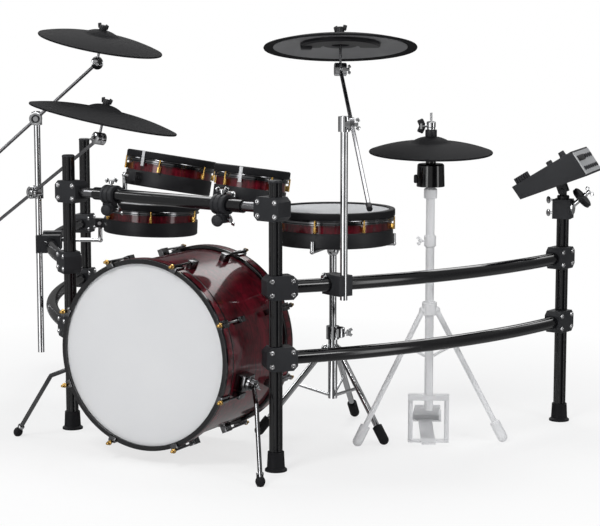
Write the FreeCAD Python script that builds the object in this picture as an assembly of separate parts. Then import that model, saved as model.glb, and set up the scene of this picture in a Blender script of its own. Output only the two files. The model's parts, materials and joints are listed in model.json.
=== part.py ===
"""Electronic drum kit: a four-post rack with a kick drum, three toms, a snare on
its stand, three boom cymbals, a hi-hat on its stand and a sound module.

Millimetres, +Z up, floor at z = 0. X runs along the front bar towards the
hi-hat side, Y runs from the front bar back towards the player.
"""
import FreeCAD, Part
import math
import os

V = FreeCAD.Vector
UP = V(0, 0, 1)

# Clearances
FIT = 0.2            # fixed pieces that are clamped round each other
RUN = 0.4            # pieces that turn or slide on each other
SEAT = 0.9           # a rocking cymbal above its seat

# Origin: the middle of the kit's floor plan, measured from the front right post
ORIGIN_X = -585.5
ORIGIN_Y = 481.9
BORE_TOOL = 1200.0           # longer than any bore that it cuts

# Rack
POST_R = 19.05
GROOVE_R = 1.8
GROOVES = 8
POST_TOP = {"front_left": 846.0, "front_right": 815.0, "rear_left": 825.0, "rear_right": 700.0}
FRONT_BAR_LENGTH = 831.0
SIDE_BAR_CHORD = 1100.0
SIDE_BAR_BOW = 88.0
RIGHT_SIDE_ANGLE = 76.3      # degrees from +X, in plan
LEFT_SIDE_ANGLE = 134.2
FRONT_BAR_Z = 738.0
UPPER_BAR_Z = 520.0
LOWER_BAR_Z = 320.0
BAR_R = 19.05
BAR_END_R = 14.0
BAR_END_LENGTH = 118.0
BAR_GAP = 26.0               # from a post's axis to the end of a bar
FOOT_R = 31.5
FOOT_H = 55.0
FOOT_FLOOR = 6.0
CLAMP_LENGTH = 90.0
CLAMP_WIDTH = 54.0
CLAMP_HEIGHT = 67.0
CLAMP_SHIFT = 12.0           # the block's middle, from the post towards the bar
CLAMP_CORNER = 13.0
BOLT_R = 5.0
BOLT_HEAD = 3.5
BOLT_INSET = 14.0

# Kick drum
KICK_POST_GAP = 80.0         # the shell's side, from the front right post
KICK_FORWARD = 178.0         # the front hoop, before the front bar
KICK_FLOOR_GAP = 36.5
KICK_YAW = 12.2
KICK_R = 265.0
KICK_DEPTH = 390.0
KICK_WALL = 7.0
HOOP_WALL = 10.5
HOOP_WIDTH = 42.0
HOOP_LIP = 3.5
HOOP_LIP_T = 8.0
HEAD_T = 1.5
CLAWS = 8
CLAW_FIRST = 22.5
CLAW_WIDTH = 22.0
CLAW_T = 5.0
LUG_AT = 92.0                # lug's middle behind the hoop's front
LUG_LENGTH = 34.0
LUG_RISE = 18.0
TENSION_ROD_R = 3.0
SENSOR_R = 62.0
SENSOR_T = 26.0
SENSOR_BAR = (28.0, 10.0)
SPUR_AT = 104.0
SPUR_ANGLE = -14.0
SPUR_R = 6.5
SPUR_HUB_R = 17.0
SPUR_HUB_T = 12.0
SPUR_TIP_R = 11.0
SPUR_TIP_H = 38.0
SPUR_FOOT = {"right": (166.0, 14.0), "left": (268.0, -2.0)}   # past the shell's side, behind the front hoop
SPUR_KNEE = 0.42             # the bend's share of the way to the foot
SPUR_KNEE_RISE = 56.0        # the bend, above the straight way

# Pad drums: snare and toms
RIM_H = 21.0
RIM_OVER = 10.0
RIM_LIP = 8.0
RIM_LIP_T = 5.0
RIM_SOFT = 4.0
PAD_HOOP_H = 14.0
PAD_HOOP_OVER = 7.5
PAD_SHELL_H = 25.0
PAD_SHELL_WALL = 5.0
PAD_BASE_H = 46.0
PAD_BASE_OVER = 4.0
PAD_BASE_WALL = 4.0
LUG_ROD_R = 2.6
LUG_OFFSET = 13.2
LUG_BLOCK = (9.0, 17.0)
BRACKET = (30.0, 28.0, 30.0)
PIN_R = 6.0
PIN_DROP = 80.0              # pin's axis below the rim
ARM_R = 7.0
ARM_BALL = 1.5               # the balls at an arm's bend and end, over its rod
ARM_SIDE = 44.0              # arm's end, from the bracket's middle
PIN_PAST = 4.0
TOM_CLAMP_WIDTH = 46.0

SNARE_D = 355.6
SNARE_AT = (-184.0, 480.0, 692.0)
SNARE_LUGS = 8

TOMS = {
    # name: diameter, place of the rim's middle, lean of the drum's axis, yaw of its bracket, lugs
    "tom_10": (254.0, (-602.0, 217.0, 845.0), (0.061, 0.169), 0.0, 6),
    "tom_8": (203.2, (-242.0, 180.0, 829.0), (0.045, 0.141), 0.0, 5),
    "tom_12": (304.8, (-1013.0, 541.0, 656.0), (0.03, 0.03), -45.8, 6),
}
TOM_CLAMP_X = {"tom_10": -645.0, "tom_8": -198.0}
TOM_12_ALONG = 578.0         # its clamp, along the left upper bar

# Boom stands and cymbals
STAND_TUBE_R = 10.5
STAND_CLAMP = (62.0, 58.0)
CRASH_STAND_ALONG = 470.0    # along the left upper bar's chord
RIDE_STAND_ALONG = 172.0     # along the right upper bar's chord
CRASH_TUBE = (156.0, 958.0)
RIDE_TUBE = (479.0, 992.0)
TUBE_STANDOFF = 39.0
COLLAR_R = 17.0
COLLAR_H = 42.0
DISC_R = 18.0
DISC_T = 12.0
DISC_FLAT = 14.5             # the fixed half's flat, from the tube's axis
BOOM_R = 5.5
STEM_R = 4.0
TILTER_R = 17.0
STEM_TO_BELL = 80.0
SEAT_R = 8.6
HOLE_R = 8.0
BELL_R = 58.0
BELL_RISE = 29.0
PAD_T = 9.5
BOW_DROP = 14.0
NUT_R = 12.0
NUT_H = 16.0
NUT_WING = (16.0, 5.0, 17.0)

CYMBALS = {
    # name: diameter, clamp height, boom azimuth, boom slope, length up, length down, lean
    "crash_1": (405.0, 934.0, 40.0, 41.8, 272.0, 207.0, (0.213, 0.042)),
    "crash_2": (470.0, 692.0, -4.5, 29.2, 395.0, 346.0, (0.1685, 0.1414)),
    "ride": (450.0, 970.0, 134.0, 22.0, 375.0, 500.0, (-0.12, 0.143)),
}

# Hi-hat and its stand
HIHAT_AT = (118.0, 563.0)
HIHAT_D = 362.0
HIHAT_Z = 886.0
CONTROLLER = (41.5, 768.0, 836.0)
CONTROLLER_PUCK = (15.0, 12.0)
HIHAT_TUBE = (12.7, 8.0, 96.0)
HIHAT_ROD_R = 3.5
HIHAT_ROD = (118.0, 985.0)
CLUTCH_R = 10.0
CLUTCH_H = 44.0
HIHAT_LEG_R = 8.0
HIHAT_LEG_TOP = 400.0
HIHAT_LEG_REACH = 222.0
HIHAT_LEGS = (-124.0, 39.0)
HIHAT_BRACE_Z = 262.0
HIHAT_FOOT = (15.0, 52.0)
PEDAL_YAW = 128.0
PEDAL_LENGTH = 250.0
PEDAL_WIDTH = 84.0
PEDAL_T = 9.0
PEDAL_SLOPE = 17.0
PEDAL_BACK = 34.0
HEEL_LENGTH = 46.0
BASE_T = 5.0
PEDAL_PIN_Z = 26.0

# Snare stand
STAND_R = 14.0
STAND_BORE = 11.4
STAND_BASE = 106.0
STAND_TOP = 330.0
SLIDER_R = 11.0
SLIDER_BOTTOM = 250.0
SLIDER_CUP = 5.0
BASKET_HUB_R = 18.0
BASKET_DROP = 12.0            # the hub's top below the arms
BASKET_ARM_R = 6.0
BASKET_BALL = 1.0            # the balls at an arm's bends, over its rod
BASKET_GRIP = 24.0
SNARE_LEG_R = 9.0
SNARE_LEG_TOP = 262.0
SNARE_LEG_REACH = 228.0
SNARE_LEG_FIRST = -9.0
SNARE_FOOT = (15.0, 46.0)
SNARE_BRACE_Z = 118.0

# Sound module
MODULE_LENGTH = 218.0
MODULE_WIDTH = 240.0
MODULE_FRONT_H = 45.0
MODULE_REAR_H = 86.0
MODULE_FRONT_LEAN = 12.0
MODULE_REAR_LEAN = 20.0
MODULE_YAW = 20.0
MODULE_TILT = 21.0
MODULE_PIVOT_RISE = 30.0     # the tilt axis, over the rear right post
MODULE_PIVOT_Z = POST_TOP["rear_right"] + MODULE_PIVOT_RISE
MODULE_PIVOT_DROP = 18.0
MODULE_EAR = (13.0, 30.0)
JACK_PANEL = (3.0, 6.0)
KNOB_R = 10.0
KNOB_H = 13.0
KNOBS = {"left": (0.46, 60.0), "right": (0.80, -50.0)}
BUTTONS = 6
BUTTON = (16.0, 12.0, 10.0)
BUTTON_RISE = 4.0
BUTTON_TRAVEL = 2.5
BUTTON_PITCH = 26.0
BUTTON_AT = 0.2


def at(x, y, z=0.0):
    """A point given from the front right post, in the kit's own frame."""
    return V(x - ORIGIN_X, y - ORIGIN_Y, z)


def turn(vector, degrees):
    """A plan vector turned about +Z."""
    return FreeCAD.Rotation(UP, degrees).multVec(vector)


def rod(start, end, radius):
    """A round bar from start to end."""
    return Part.makeCylinder(radius, start.distanceToPoint(end), start, end - start)


def bent_rod(points, radius, elbow=0.0):
    """One bar through several points, with round corners that may stand proud by elbow."""
    solid = rod(points[0], points[1], radius)
    for start, end in zip(points[1:], points[2:]):
        solid = solid.fuse([Part.makeSphere(radius + elbow, start), rod(start, end, radius)])
    return solid.removeSplitter()


def disc(center, axis, radius, thickness):
    """A disc whose back face is centred on center."""
    return Part.makeCylinder(radius, thickness, center, axis)


def lathe(outline):
    """A closed outline of (radius, z) points turned about +Z."""
    points = [V(r, 0, z) for r, z in outline]
    return Part.Face(Part.makePolygon(points + points[:1])).revolve(V(), UP, 360)


def block(size, center=V()):
    """A box centred on a point."""
    return Part.makeBox(*size, center - V(*size) * 0.5)


def placed(solid, frame):
    """A copy of a solid moved from its own frame into the kit's."""
    copy = solid.copy()
    copy.Placement = frame.multiply(copy.Placement)
    return copy


def leaning(lean):
    """The unit axis whose plan part is lean."""
    return V(lean[0], lean[1], math.sqrt(1 - lean[0] ** 2 - lean[1] ** 2))


# Rack

RIGHT_WAY = turn(V(1, 0, 0), RIGHT_SIDE_ANGLE)
LEFT_WAY = turn(V(1, 0, 0), LEFT_SIDE_ANGLE)
RIGHT_OUT = turn(RIGHT_WAY, -90)
LEFT_OUT = turn(LEFT_WAY, 90)
FRONT_RIGHT = at(0, 0)
FRONT_LEFT = at(-FRONT_BAR_LENGTH, 0)
POSTS = {
    "front_left": FRONT_LEFT,
    "front_right": FRONT_RIGHT,
    "rear_left": FRONT_LEFT + LEFT_WAY * SIDE_BAR_CHORD,
    "rear_right": FRONT_RIGHT + RIGHT_WAY * SIDE_BAR_CHORD,
}
BOW_R = SIDE_BAR_CHORD ** 2 / (8 * SIDE_BAR_BOW) + SIDE_BAR_BOW / 2
HALF_TURN = math.degrees(math.asin(SIDE_BAR_CHORD / 2 / BOW_R))
END_TURN = math.degrees(BAR_GAP / BOW_R)


def bow_at(along):
    """How far a side bar stands out from its chord."""
    return math.sqrt(BOW_R ** 2 - (along - SIDE_BAR_CHORD / 2) ** 2) - (BOW_R - SIDE_BAR_BOW)


def side_bar(start, way, out, z, radius):
    """A bowed bar between a front post and a rear post."""
    middle = start + way * (SIDE_BAR_CHORD / 2) + UP * z
    center = middle - out * (BOW_R - SIDE_BAR_BOW)
    sign = 1 if way.cross(out).z < 0 else -1
    first = (start + UP * z - center).normalize()
    spin = FreeCAD.Rotation(UP, -sign * END_TURN * -1)
    first = spin.multVec(first)
    tangent = UP.cross(first)
    circle = Part.Wire(Part.makeCircle(radius, center + first * BOW_R, tangent))
    return Part.Face(circle).revolve(center, UP, sign * 2 * (HALF_TURN - END_TURN))


def post(name):
    """A grooved upright tube, standing in its foot."""
    base = POSTS[name] + UP * FOOT_FLOOR
    height = POST_TOP[name] - FOOT_FLOOR
    solid = Part.makeCylinder(POST_R, height, base)
    grooves = []
    for number in range(GROOVES):
        side = turn(V(POST_R, 0, 0), 360 / GROOVES * (number + 0.5))
        grooves.append(Part.makeCylinder(GROOVE_R, height, base + side))
    return solid.cut(grooves)


def post_foot(name):
    """A rubber cup under a post."""
    bore = POST_R + FIT
    cup = lathe([(0, 0), (FOOT_R, 0), (FOOT_R, 5), (FOOT_R - 6, 10), (bore + 4, FOOT_H),
                 (bore, FOOT_H), (bore, FOOT_FLOOR), (0, FOOT_FLOOR)])
    return placed(cup, FreeCAD.Placement(POSTS[name], FreeCAD.Rotation()))


def clamp_frame(name, z, way):
    """Where a rack clamp sits: its X along the bar, its Y across it."""
    turned = FreeCAD.Rotation(way, UP.cross(way), UP, "XZY")
    return FreeCAD.Placement(POSTS[name] + UP * z, turned)


def rack_clamp(frame, bars):
    """A cornered block that holds a bar to a post."""
    half_l = CLAMP_LENGTH / 2
    half_h = CLAMP_HEIGHT / 2
    corners = [(-half_l + CLAMP_CORNER, -half_h), (half_l - CLAMP_CORNER, -half_h),
               (half_l, -half_h + CLAMP_CORNER), (half_l, half_h - CLAMP_CORNER),
               (half_l - CLAMP_CORNER, half_h), (-half_l + CLAMP_CORNER, half_h),
               (-half_l, half_h - CLAMP_CORNER), (-half_l, -half_h + CLAMP_CORNER)]
    points = [V(x + CLAMP_SHIFT, -CLAMP_WIDTH / 2, z) for x, z in corners]
    face = Part.Face(Part.makePolygon(points + points[:1]))
    solid = placed(face.extrude(V(0, CLAMP_WIDTH, 0)), frame)
    bore = Part.makeCylinder(POST_R + FIT, CLAMP_HEIGHT + 2, frame.Base - UP * (half_h + 1))
    return solid.cut([bore] + bars)


def clamp_bolts(frame):
    """Round bolt heads on both faces of a rack clamp."""
    heads = []
    for side in (-1, 1):
        for x in (-1, 1):
            for z in (-1, 1):
                place = V(CLAMP_SHIFT + x * (CLAMP_LENGTH / 2 - BOLT_INSET), side * CLAMP_WIDTH / 2,
                          z * (CLAMP_HEIGHT / 2 - BOLT_INSET))
                heads.append(placed(disc(place, V(0, side, 0), BOLT_R, BOLT_HEAD), frame))
    return heads


def front_bar(grow=0.0):
    """The straight bar between the front posts, thinner where the clamps hold it."""
    left = FRONT_LEFT + UP * FRONT_BAR_Z
    right = FRONT_RIGHT + UP * FRONT_BAR_Z
    along = V(1, 0, 0)
    thin = rod(left + along * BAR_GAP, right - along * BAR_GAP, BAR_END_R + grow)
    thick = rod(left + along * BAR_END_LENGTH, right - along * BAR_END_LENGTH, BAR_R + grow)
    return thin.fuse(thick).removeSplitter()


def side_bars(grow=0.0):
    """The four bowed bars, left and right, upper and lower."""
    bars = []
    for start, way, out in ((FRONT_LEFT, LEFT_WAY, LEFT_OUT), (FRONT_RIGHT, RIGHT_WAY, RIGHT_OUT)):
        for z in (UPPER_BAR_Z, LOWER_BAR_Z):
            bars.append(side_bar(start, way, out, z, BAR_R + grow))
    return bars


def rack_nodes():
    """Posts, feet, bars, clamps and bolts."""
    bores = [front_bar(FIT)] + side_bars(FIT)
    frames = [clamp_frame("front_left", FRONT_BAR_Z, V(1, 0, 0)),
              clamp_frame("front_right", FRONT_BAR_Z, V(-1, 0, 0))]
    for z in (UPPER_BAR_Z, LOWER_BAR_Z):
        frames.append(clamp_frame("front_left", z, turn(LEFT_WAY, HALF_TURN)))
        frames.append(clamp_frame("front_right", z, turn(RIGHT_WAY, -HALF_TURN)))
        frames.append(clamp_frame("rear_left", z, -turn(LEFT_WAY, -HALF_TURN)))
        frames.append(clamp_frame("rear_right", z, -turn(RIGHT_WAY, HALF_TURN)))
    bolts = []
    for frame in frames:
        bolts += clamp_bolts(frame)
    return {
        "rack_posts": [post(name) for name in POSTS],
        "post_feet": [post_foot(name) for name in POSTS],
        "front_bar": [front_bar()],
        "side_bars": side_bars(),
        "rack_clamps": [rack_clamp(frame, bores) for frame in frames],
        "clamp_bolts": bolts,
    }


# Kick drum. Its own frame has +Z out of the front head and +Y up.

KICK_SIDE = turn(V(1, 0, 0), KICK_YAW)
KICK_OUT = KICK_SIDE.cross(UP)
KICK_Z = KICK_R + HOOP_WALL + KICK_FLOOR_GAP
KICK_FRAME = FreeCAD.Placement(at(-KICK_R - KICK_POST_GAP, -KICK_FORWARD, KICK_Z),
                               FreeCAD.Rotation(KICK_SIDE, UP, KICK_OUT, "ZXY"))


def kick_hoop(front):
    """A hoop with its lip over the edge of a head."""
    inner = KICK_R + FIT
    outer = KICK_R + HOOP_WALL
    lip = KICK_R - HOOP_LIP
    solid = lathe([(lip, 0), (outer, 0), (outer, -HOOP_WIDTH), (inner, -HOOP_WIDTH),
                   (inner, -HOOP_LIP_T), (lip, -HOOP_LIP_T)])
    return kick_end(solid, front)


def kick_end(solid, front):
    """A piece made for the front, or turned round for the rear."""
    if front:
        return placed(solid, KICK_FRAME)
    turned = FreeCAD.Placement(V(0, 0, -KICK_DEPTH), FreeCAD.Rotation(V(0, 1, 0), 180))
    return placed(solid, KICK_FRAME.multiply(turned))


def kick_claw(number, front):
    """A claw over the hoop, its tension rod and the lug on the shell."""
    outer = KICK_R + HOOP_WALL
    hook = block((CLAW_T + HOOP_WALL, CLAW_WIDTH, CLAW_T),
                 V(outer + CLAW_T / 2 - HOOP_WALL / 2, 0, CLAW_T / 2))
    back = block((CLAW_T, CLAW_WIDTH, HOOP_WIDTH + CLAW_T),
                 V(outer + CLAW_T / 2 + FIT, 0, CLAW_T / 2 - HOOP_WIDTH / 2))
    screw = rod(V(outer + CLAW_T + TENSION_ROD_R, 0, CLAW_T + 4), V(outer + CLAW_T + TENSION_ROD_R, 0, -LUG_AT),
                TENSION_ROD_R)
    key = disc(V(outer + CLAW_T + TENSION_ROD_R, 0, CLAW_T + 2), V(0, 0, 1), TENSION_ROD_R * 2, 9)
    claw = hook.fuse([back, screw, key])
    rise = HOOP_WALL + CLAW_T + LUG_RISE / 2
    lug = block((rise, CLAW_WIDTH * 0.75, LUG_LENGTH), V(KICK_R + rise / 2 - 1, 0, -LUG_AT - LUG_LENGTH / 2 + 6))
    lug = lug.cut(Part.makeCylinder(KICK_R + FIT, KICK_DEPTH, V(0, 0, -KICK_DEPTH)))
    claw = claw.fuse(lug).removeSplitter()
    claw.rotate(V(), UP, CLAW_FIRST + number * 360 / CLAWS)
    return kick_end(claw, front)


def spur_place(side):
    """The spur bracket's seat on the shell, and the way out of it."""
    sign = 1 if side == "right" else -1
    angle = math.radians(SPUR_ANGLE)
    way = V(sign * math.cos(angle), math.sin(angle), 0)
    return way, V(0, 0, -SPUR_AT)


def spur_bracket(side):
    """A saddle block on the kick's shell that carries a spur."""
    way, middle = spur_place(side)
    frame = FreeCAD.Placement(middle, FreeCAD.Rotation(V(1, 0, 0), way))
    body = block((34, 44, 58), V(KICK_R + 14, 0, 0))
    boss = disc(V(KICK_R + 30, 0, 0), V(1, 0, 0), SPUR_HUB_R + 3, 10)
    body = body.fuse(boss).removeSplitter()
    body = placed(body, frame)
    return placed(body.cut(Part.makeCylinder(KICK_R + FIT, KICK_DEPTH, V(0, 0, -KICK_DEPTH))), KICK_FRAME)


def spur_hub(side):
    """The middle of the spur's hub and its axis, in the kit's frame."""
    way, middle = spur_place(side)
    axis = KICK_FRAME.Rotation.multVec(way)
    return KICK_FRAME.multVec(middle + way * (KICK_R + 40 + RUN)), axis


def spur(side):
    """A bent leg with its hub and rubber tip."""
    start, axis = spur_hub(side)
    sign = 1 if side == "right" else -1
    reach, back = SPUR_FOOT[side]
    foot = V(KICK_FRAME.Base.x + sign * (KICK_R + reach), KICK_FRAME.Base.y + back, 0)
    hub = disc(start, axis, SPUR_HUB_R, SPUR_HUB_T)
    root = start + axis * (SPUR_HUB_T / 2)
    end = foot + UP * (SPUR_TIP_H * 0.4)
    knee = root + (end - root) * SPUR_KNEE + V(0, 0, SPUR_KNEE_RISE)
    leg = hub.fuse(bent_rod([root, knee, end], SPUR_R))
    way = (end - knee).normalize()
    tip = lathe([(0, 0), (SPUR_TIP_R - 3, 0), (SPUR_TIP_R, 6), (SPUR_R + 3, SPUR_TIP_H), (0, SPUR_TIP_H)])
    tip = placed(tip, FreeCAD.Placement(foot, FreeCAD.Rotation(UP, way * -1)))
    floor = Part.makeBox(400, 400, 100, foot - V(200, 200, 100))
    tip = tip.cut([floor, leg])
    return [leg.removeSplitter()] + tip.Solids


def kick_nodes():
    """The kick drum's shell, hoops, heads, claws, sensor and spurs."""
    head_top = -HOOP_LIP_T
    head = Part.makeCylinder(KICK_R, HEAD_T, V(0, 0, head_top - HEAD_T))
    shell = Part.makeCylinder(KICK_R, KICK_DEPTH - 2 * (HOOP_LIP_T + HEAD_T),
                              V(0, 0, -KICK_DEPTH + HOOP_LIP_T + HEAD_T))
    shell = shell.cut(Part.makeCylinder(KICK_R - KICK_WALL, KICK_DEPTH, V(0, 0, -KICK_DEPTH)))
    sensor_z = -KICK_DEPTH + HOOP_LIP_T + HEAD_T + FIT
    bar_w, bar_t = SENSOR_BAR
    span = 2 * math.sqrt((KICK_R - KICK_WALL - FIT) ** 2 - (bar_w / 2) ** 2)
    sensor = Part.makeCylinder(SENSOR_R, SENSOR_T, V(0, 0, sensor_z))
    sensor = sensor.fuse(block((span, bar_w, bar_t), V(0, 0, sensor_z + SENSOR_T + bar_t / 2)))
    claws = [kick_claw(number, front) for front in (True, False) for number in range(CLAWS)]
    return {
        "kick_shell": [placed(shell, KICK_FRAME)],
        "kick_hoops": [kick_hoop(True), kick_hoop(False)],
        "kick_front_head": [kick_end(head, True)],
        "kick_batter_head": [kick_end(head, False)],
        "kick_claws": claws,
        "kick_sensor": [placed(sensor, KICK_FRAME)],
        "spur_brackets": [spur_bracket("right"), spur_bracket("left")],
        "right_spur": spur("right"),
        "left_spur": spur("left"),
    }


# Pad drums. Their own frame has its origin in the middle of the rim's top.

PAD_HOOP_Z = -RIM_H
PAD_SHELL_Z = PAD_HOOP_Z - PAD_HOOP_H
PAD_BASE_Z = PAD_SHELL_Z - PAD_SHELL_H
PAD_FLOOR_Z = PAD_BASE_Z - PAD_BASE_H


def pad_frame(place, lean, yaw):
    """A drum's frame, leaning as its axis does."""
    tilt = FreeCAD.Rotation(UP, leaning(lean))
    return FreeCAD.Placement(at(*place), tilt.multiply(FreeCAD.Rotation(UP, yaw)))


def pad_lug(r):
    """A tension lug: a block on the shell with its rod and key head."""
    width, height = LUG_BLOCK
    z = PAD_BASE_Z + height / 2 + 2
    lug = block((LUG_OFFSET - FIT, width, height), V(r + FIT + (LUG_OFFSET - FIT) / 2, 0, z))
    shank = rod(V(r + LUG_OFFSET, 0, PAD_BASE_Z + 2), V(r + LUG_OFFSET, 0, -RIM_H * 0.4), LUG_ROD_R)
    key = disc(V(r + LUG_OFFSET, 0, -RIM_H * 0.4), UP, LUG_ROD_R + 0.4, 6)
    lug = lug.fuse([shank, key]).removeSplitter()
    return lug.cut(Part.makeCylinder(r + FIT, 400, V(0, 0, -200)))


def pad_pin(diameter):
    """The middle of a tom's tilt pin, in its own frame."""
    return V(0, -(diameter / 2 + PAD_BASE_OVER + BRACKET[1] / 2), -PIN_DROP)


def pad_drum(name, diameter, lugs, frame, bracket):
    """A mesh-head pad: rim and hoop, head, shell, base and lugs."""
    r = diameter / 2
    out = r + RIM_OVER
    rim = lathe([(r - RIM_LIP, -RIM_SOFT), (r - RIM_LIP + RIM_SOFT, 0), (out - RIM_SOFT, 0), (out, -RIM_SOFT),
                 (out, -RIM_H), (r + 1, -RIM_H), (r + 1, -RIM_LIP_T), (r - RIM_LIP, -RIM_LIP_T)])
    hoop = lathe([(r + 1, PAD_HOOP_Z), (r + PAD_HOOP_OVER, PAD_HOOP_Z), (r + PAD_HOOP_OVER, PAD_SHELL_Z + 3),
                  (r + PAD_HOOP_OVER + 2, PAD_SHELL_Z), (r + 1, PAD_SHELL_Z)])
    head = Part.makeCylinder(r + 0.5, HEAD_T, V(0, 0, -RIM_LIP_T - HEAD_T))
    top = -RIM_LIP_T - HEAD_T
    shell = lathe([(r - PAD_SHELL_WALL, top), (r, top), (r, PAD_BASE_Z), (r - PAD_SHELL_WALL, PAD_BASE_Z)])
    side = r + PAD_BASE_OVER
    floor = PAD_FLOOR_Z + PAD_BASE_WALL
    base = lathe([(0, PAD_FLOOR_Z), (side - 3, PAD_FLOOR_Z), (side, PAD_FLOOR_Z + 3), (side, PAD_BASE_Z),
                  (r - PAD_BASE_WALL, PAD_BASE_Z), (r - PAD_BASE_WALL, floor), (0, floor)])
    if bracket:
        pin = pad_pin(diameter)
        ear = block((BRACKET[0], BRACKET[1] + PAD_BASE_WALL, BRACKET[2]), pin + V(0, PAD_BASE_WALL / 2, 0))
        bore = rod(pin - V(BRACKET[0], 0, 0), pin + V(BRACKET[0], 0, 0), PIN_R + RUN)
        base = base.fuse(ear.cut(Part.makeCylinder(r, 400, V(0, 0, -300)))).cut(bore).removeSplitter()
    tension = []
    for number in range(lugs):
        lug = pad_lug(r)
        lug.rotate(V(), UP, 90 + (number + 0.5) * 360 / lugs)
        tension.append(placed(lug, frame))
    pieces = {"rim": [rim, hoop], "head": [head], "shell": [shell], "base": [base]}
    nodes = {f"{name}_{piece}": [placed(s, frame) for s in solids] for piece, solids in pieces.items()}
    nodes[f"{name}_lugs"] = tension
    return nodes


def tom_frames():
    """Each tom's frame by name."""
    return {name: pad_frame(place, lean, yaw) for name, (_, place, lean, yaw, _) in TOMS.items()}


def arm_end(name):
    """The outer end of a tom's pin, where its arm turns into it."""
    frame = tom_frames()[name]
    side = 1 if name == "tom_8" else -1
    return frame.multVec(pad_pin(TOMS[name][0]) + V(side * ARM_SIDE, 0, 0)), side


def arm_seat(name):
    """A tom clamp's place on its bar, the bar's way and the way to the tom."""
    if name in TOM_CLAMP_X:
        return at(TOM_CLAMP_X[name], 0, FRONT_BAR_Z), V(1, 0, 0), V(0, 1, 0)
    return side_bar_point(FRONT_LEFT, LEFT_WAY, LEFT_OUT, TOM_12_ALONG), LEFT_WAY, LEFT_OUT * -1


def tom_clamp(name, bores):
    """A block round a bar that holds a tom's arm."""
    seat, way, _ = arm_seat(name)
    frame = FreeCAD.Placement(seat, FreeCAD.Rotation(way, UP.cross(way), UP, "XZY"))
    return placed(block((TOM_CLAMP_WIDTH, STAND_CLAMP[0], STAND_CLAMP[1])), frame).cut(bores)


def tom_arm(name, clamp):
    """An angled arm from a clamp's back, up to the pin that a tom tilts on."""
    frame = tom_frames()[name]
    outer, side = arm_end(name)
    inner = frame.multVec(pad_pin(TOMS[name][0]) - V(side * (BRACKET[0] / 2 + PIN_PAST), 0, 0))
    seat, _, toward = arm_seat(name)
    start = seat + toward * (STAND_CLAMP[0] / 2 - ARM_R)
    arm = bent_rod([start, V(outer.x, outer.y, seat.z), outer], ARM_R, ARM_BALL)
    arm = arm.fuse([Part.makeSphere(ARM_R + ARM_BALL, outer), rod(outer, inner, PIN_R)]).removeSplitter()
    return largest(arm.cut(clamp))[0]


def tom_nodes():
    """The three toms."""
    nodes = {}
    frames = tom_frames()
    for name, (diameter, _, _, _, lugs) in TOMS.items():
        nodes.update(pad_drum(name, diameter, lugs, frames[name], True))
    return nodes


def side_bar_point(start, way, out, along):
    """A point on an upper side bar's axis."""
    return start + way * along + out * bow_at(along) + UP * UPPER_BAR_Z


# Boom stands and cymbals

def stand_spots():
    """The plan places of the two boom tubes, and their outward ways."""
    crash = side_bar_point(FRONT_LEFT, LEFT_WAY, LEFT_OUT, CRASH_STAND_ALONG) + LEFT_OUT * TUBE_STANDOFF
    ride = side_bar_point(FRONT_RIGHT, RIGHT_WAY, RIGHT_OUT, RIDE_STAND_ALONG) + RIGHT_OUT * TUBE_STANDOFF
    return {"crash": V(crash.x, crash.y, 0), "ride": V(ride.x, ride.y, 0)}


def boom_axes(name):
    """A boom's pivot, its tilt axis and its own way."""
    _, z, azimuth, slope, _, _, _ = CYMBALS[name]
    flat = turn(V(1, 0, 0), azimuth)
    axis = turn(flat, -90)
    spot = stand_spots()["ride" if name == "ride" else "crash"]
    way = flat * math.cos(math.radians(slope)) + UP * math.sin(math.radians(slope))
    return spot + UP * z, axis, way


def boom_collar(name):
    """The collar on a stand tube and the fixed half of the tilter."""
    pivot, axis, _ = boom_axes(name)
    collar = disc(pivot - UP * (COLLAR_H / 2), UP, COLLAR_R, COLLAR_H)
    face = disc(pivot, axis, DISC_R, COLLAR_R + DISC_FLAT)
    beyond = disc(pivot + axis * DISC_FLAT, axis, COLLAR_H * 2, COLLAR_H)
    bore = disc(pivot - UP * COLLAR_H, UP, STAND_TUBE_R + FIT, COLLAR_H * 2)
    return collar.fuse(face).cut([beyond, bore]).removeSplitter()


def boom_rod_center(name):
    """The point of a boom's rod that lies on its tilt axis."""
    pivot, axis, way = boom_axes(name)
    return pivot + axis * (DISC_FLAT + RUN + DISC_T / 2), way


def cymbal_frame(name):
    """A cymbal's frame, with its origin under the bell."""
    _, _, _, _, up, _, lean = CYMBALS[name]
    center, way = boom_rod_center(name)
    normal = leaning(lean)
    return FreeCAD.Placement(center + way * up + normal * STEM_TO_BELL, FreeCAD.Rotation(UP, normal))


def boom(name):
    """A boom: its disc, rod, tilter ball, stem and seat."""
    _, _, _, _, up, down, lean = CYMBALS[name]
    pivot, axis, _ = boom_axes(name)
    center, way = boom_rod_center(name)
    normal = leaning(lean)
    end = center + way * up
    knuckle = disc(center - axis * (DISC_T / 2), axis, DISC_R, DISC_T)
    seat_z = STEM_TO_BELL + BELL_RISE - PAD_T - SEAT
    top = STEM_TO_BELL + BELL_RISE + NUT_H - 2
    pieces = [rod(center - way * down, end, BOOM_R), Part.makeSphere(TILTER_R, end),
              rod(end, end + normal * top, STEM_R),
              rod(end + normal * (seat_z - 12), end + normal * seat_z, SEAT_R)]
    return knuckle.fuse(pieces).removeSplitter()


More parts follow.
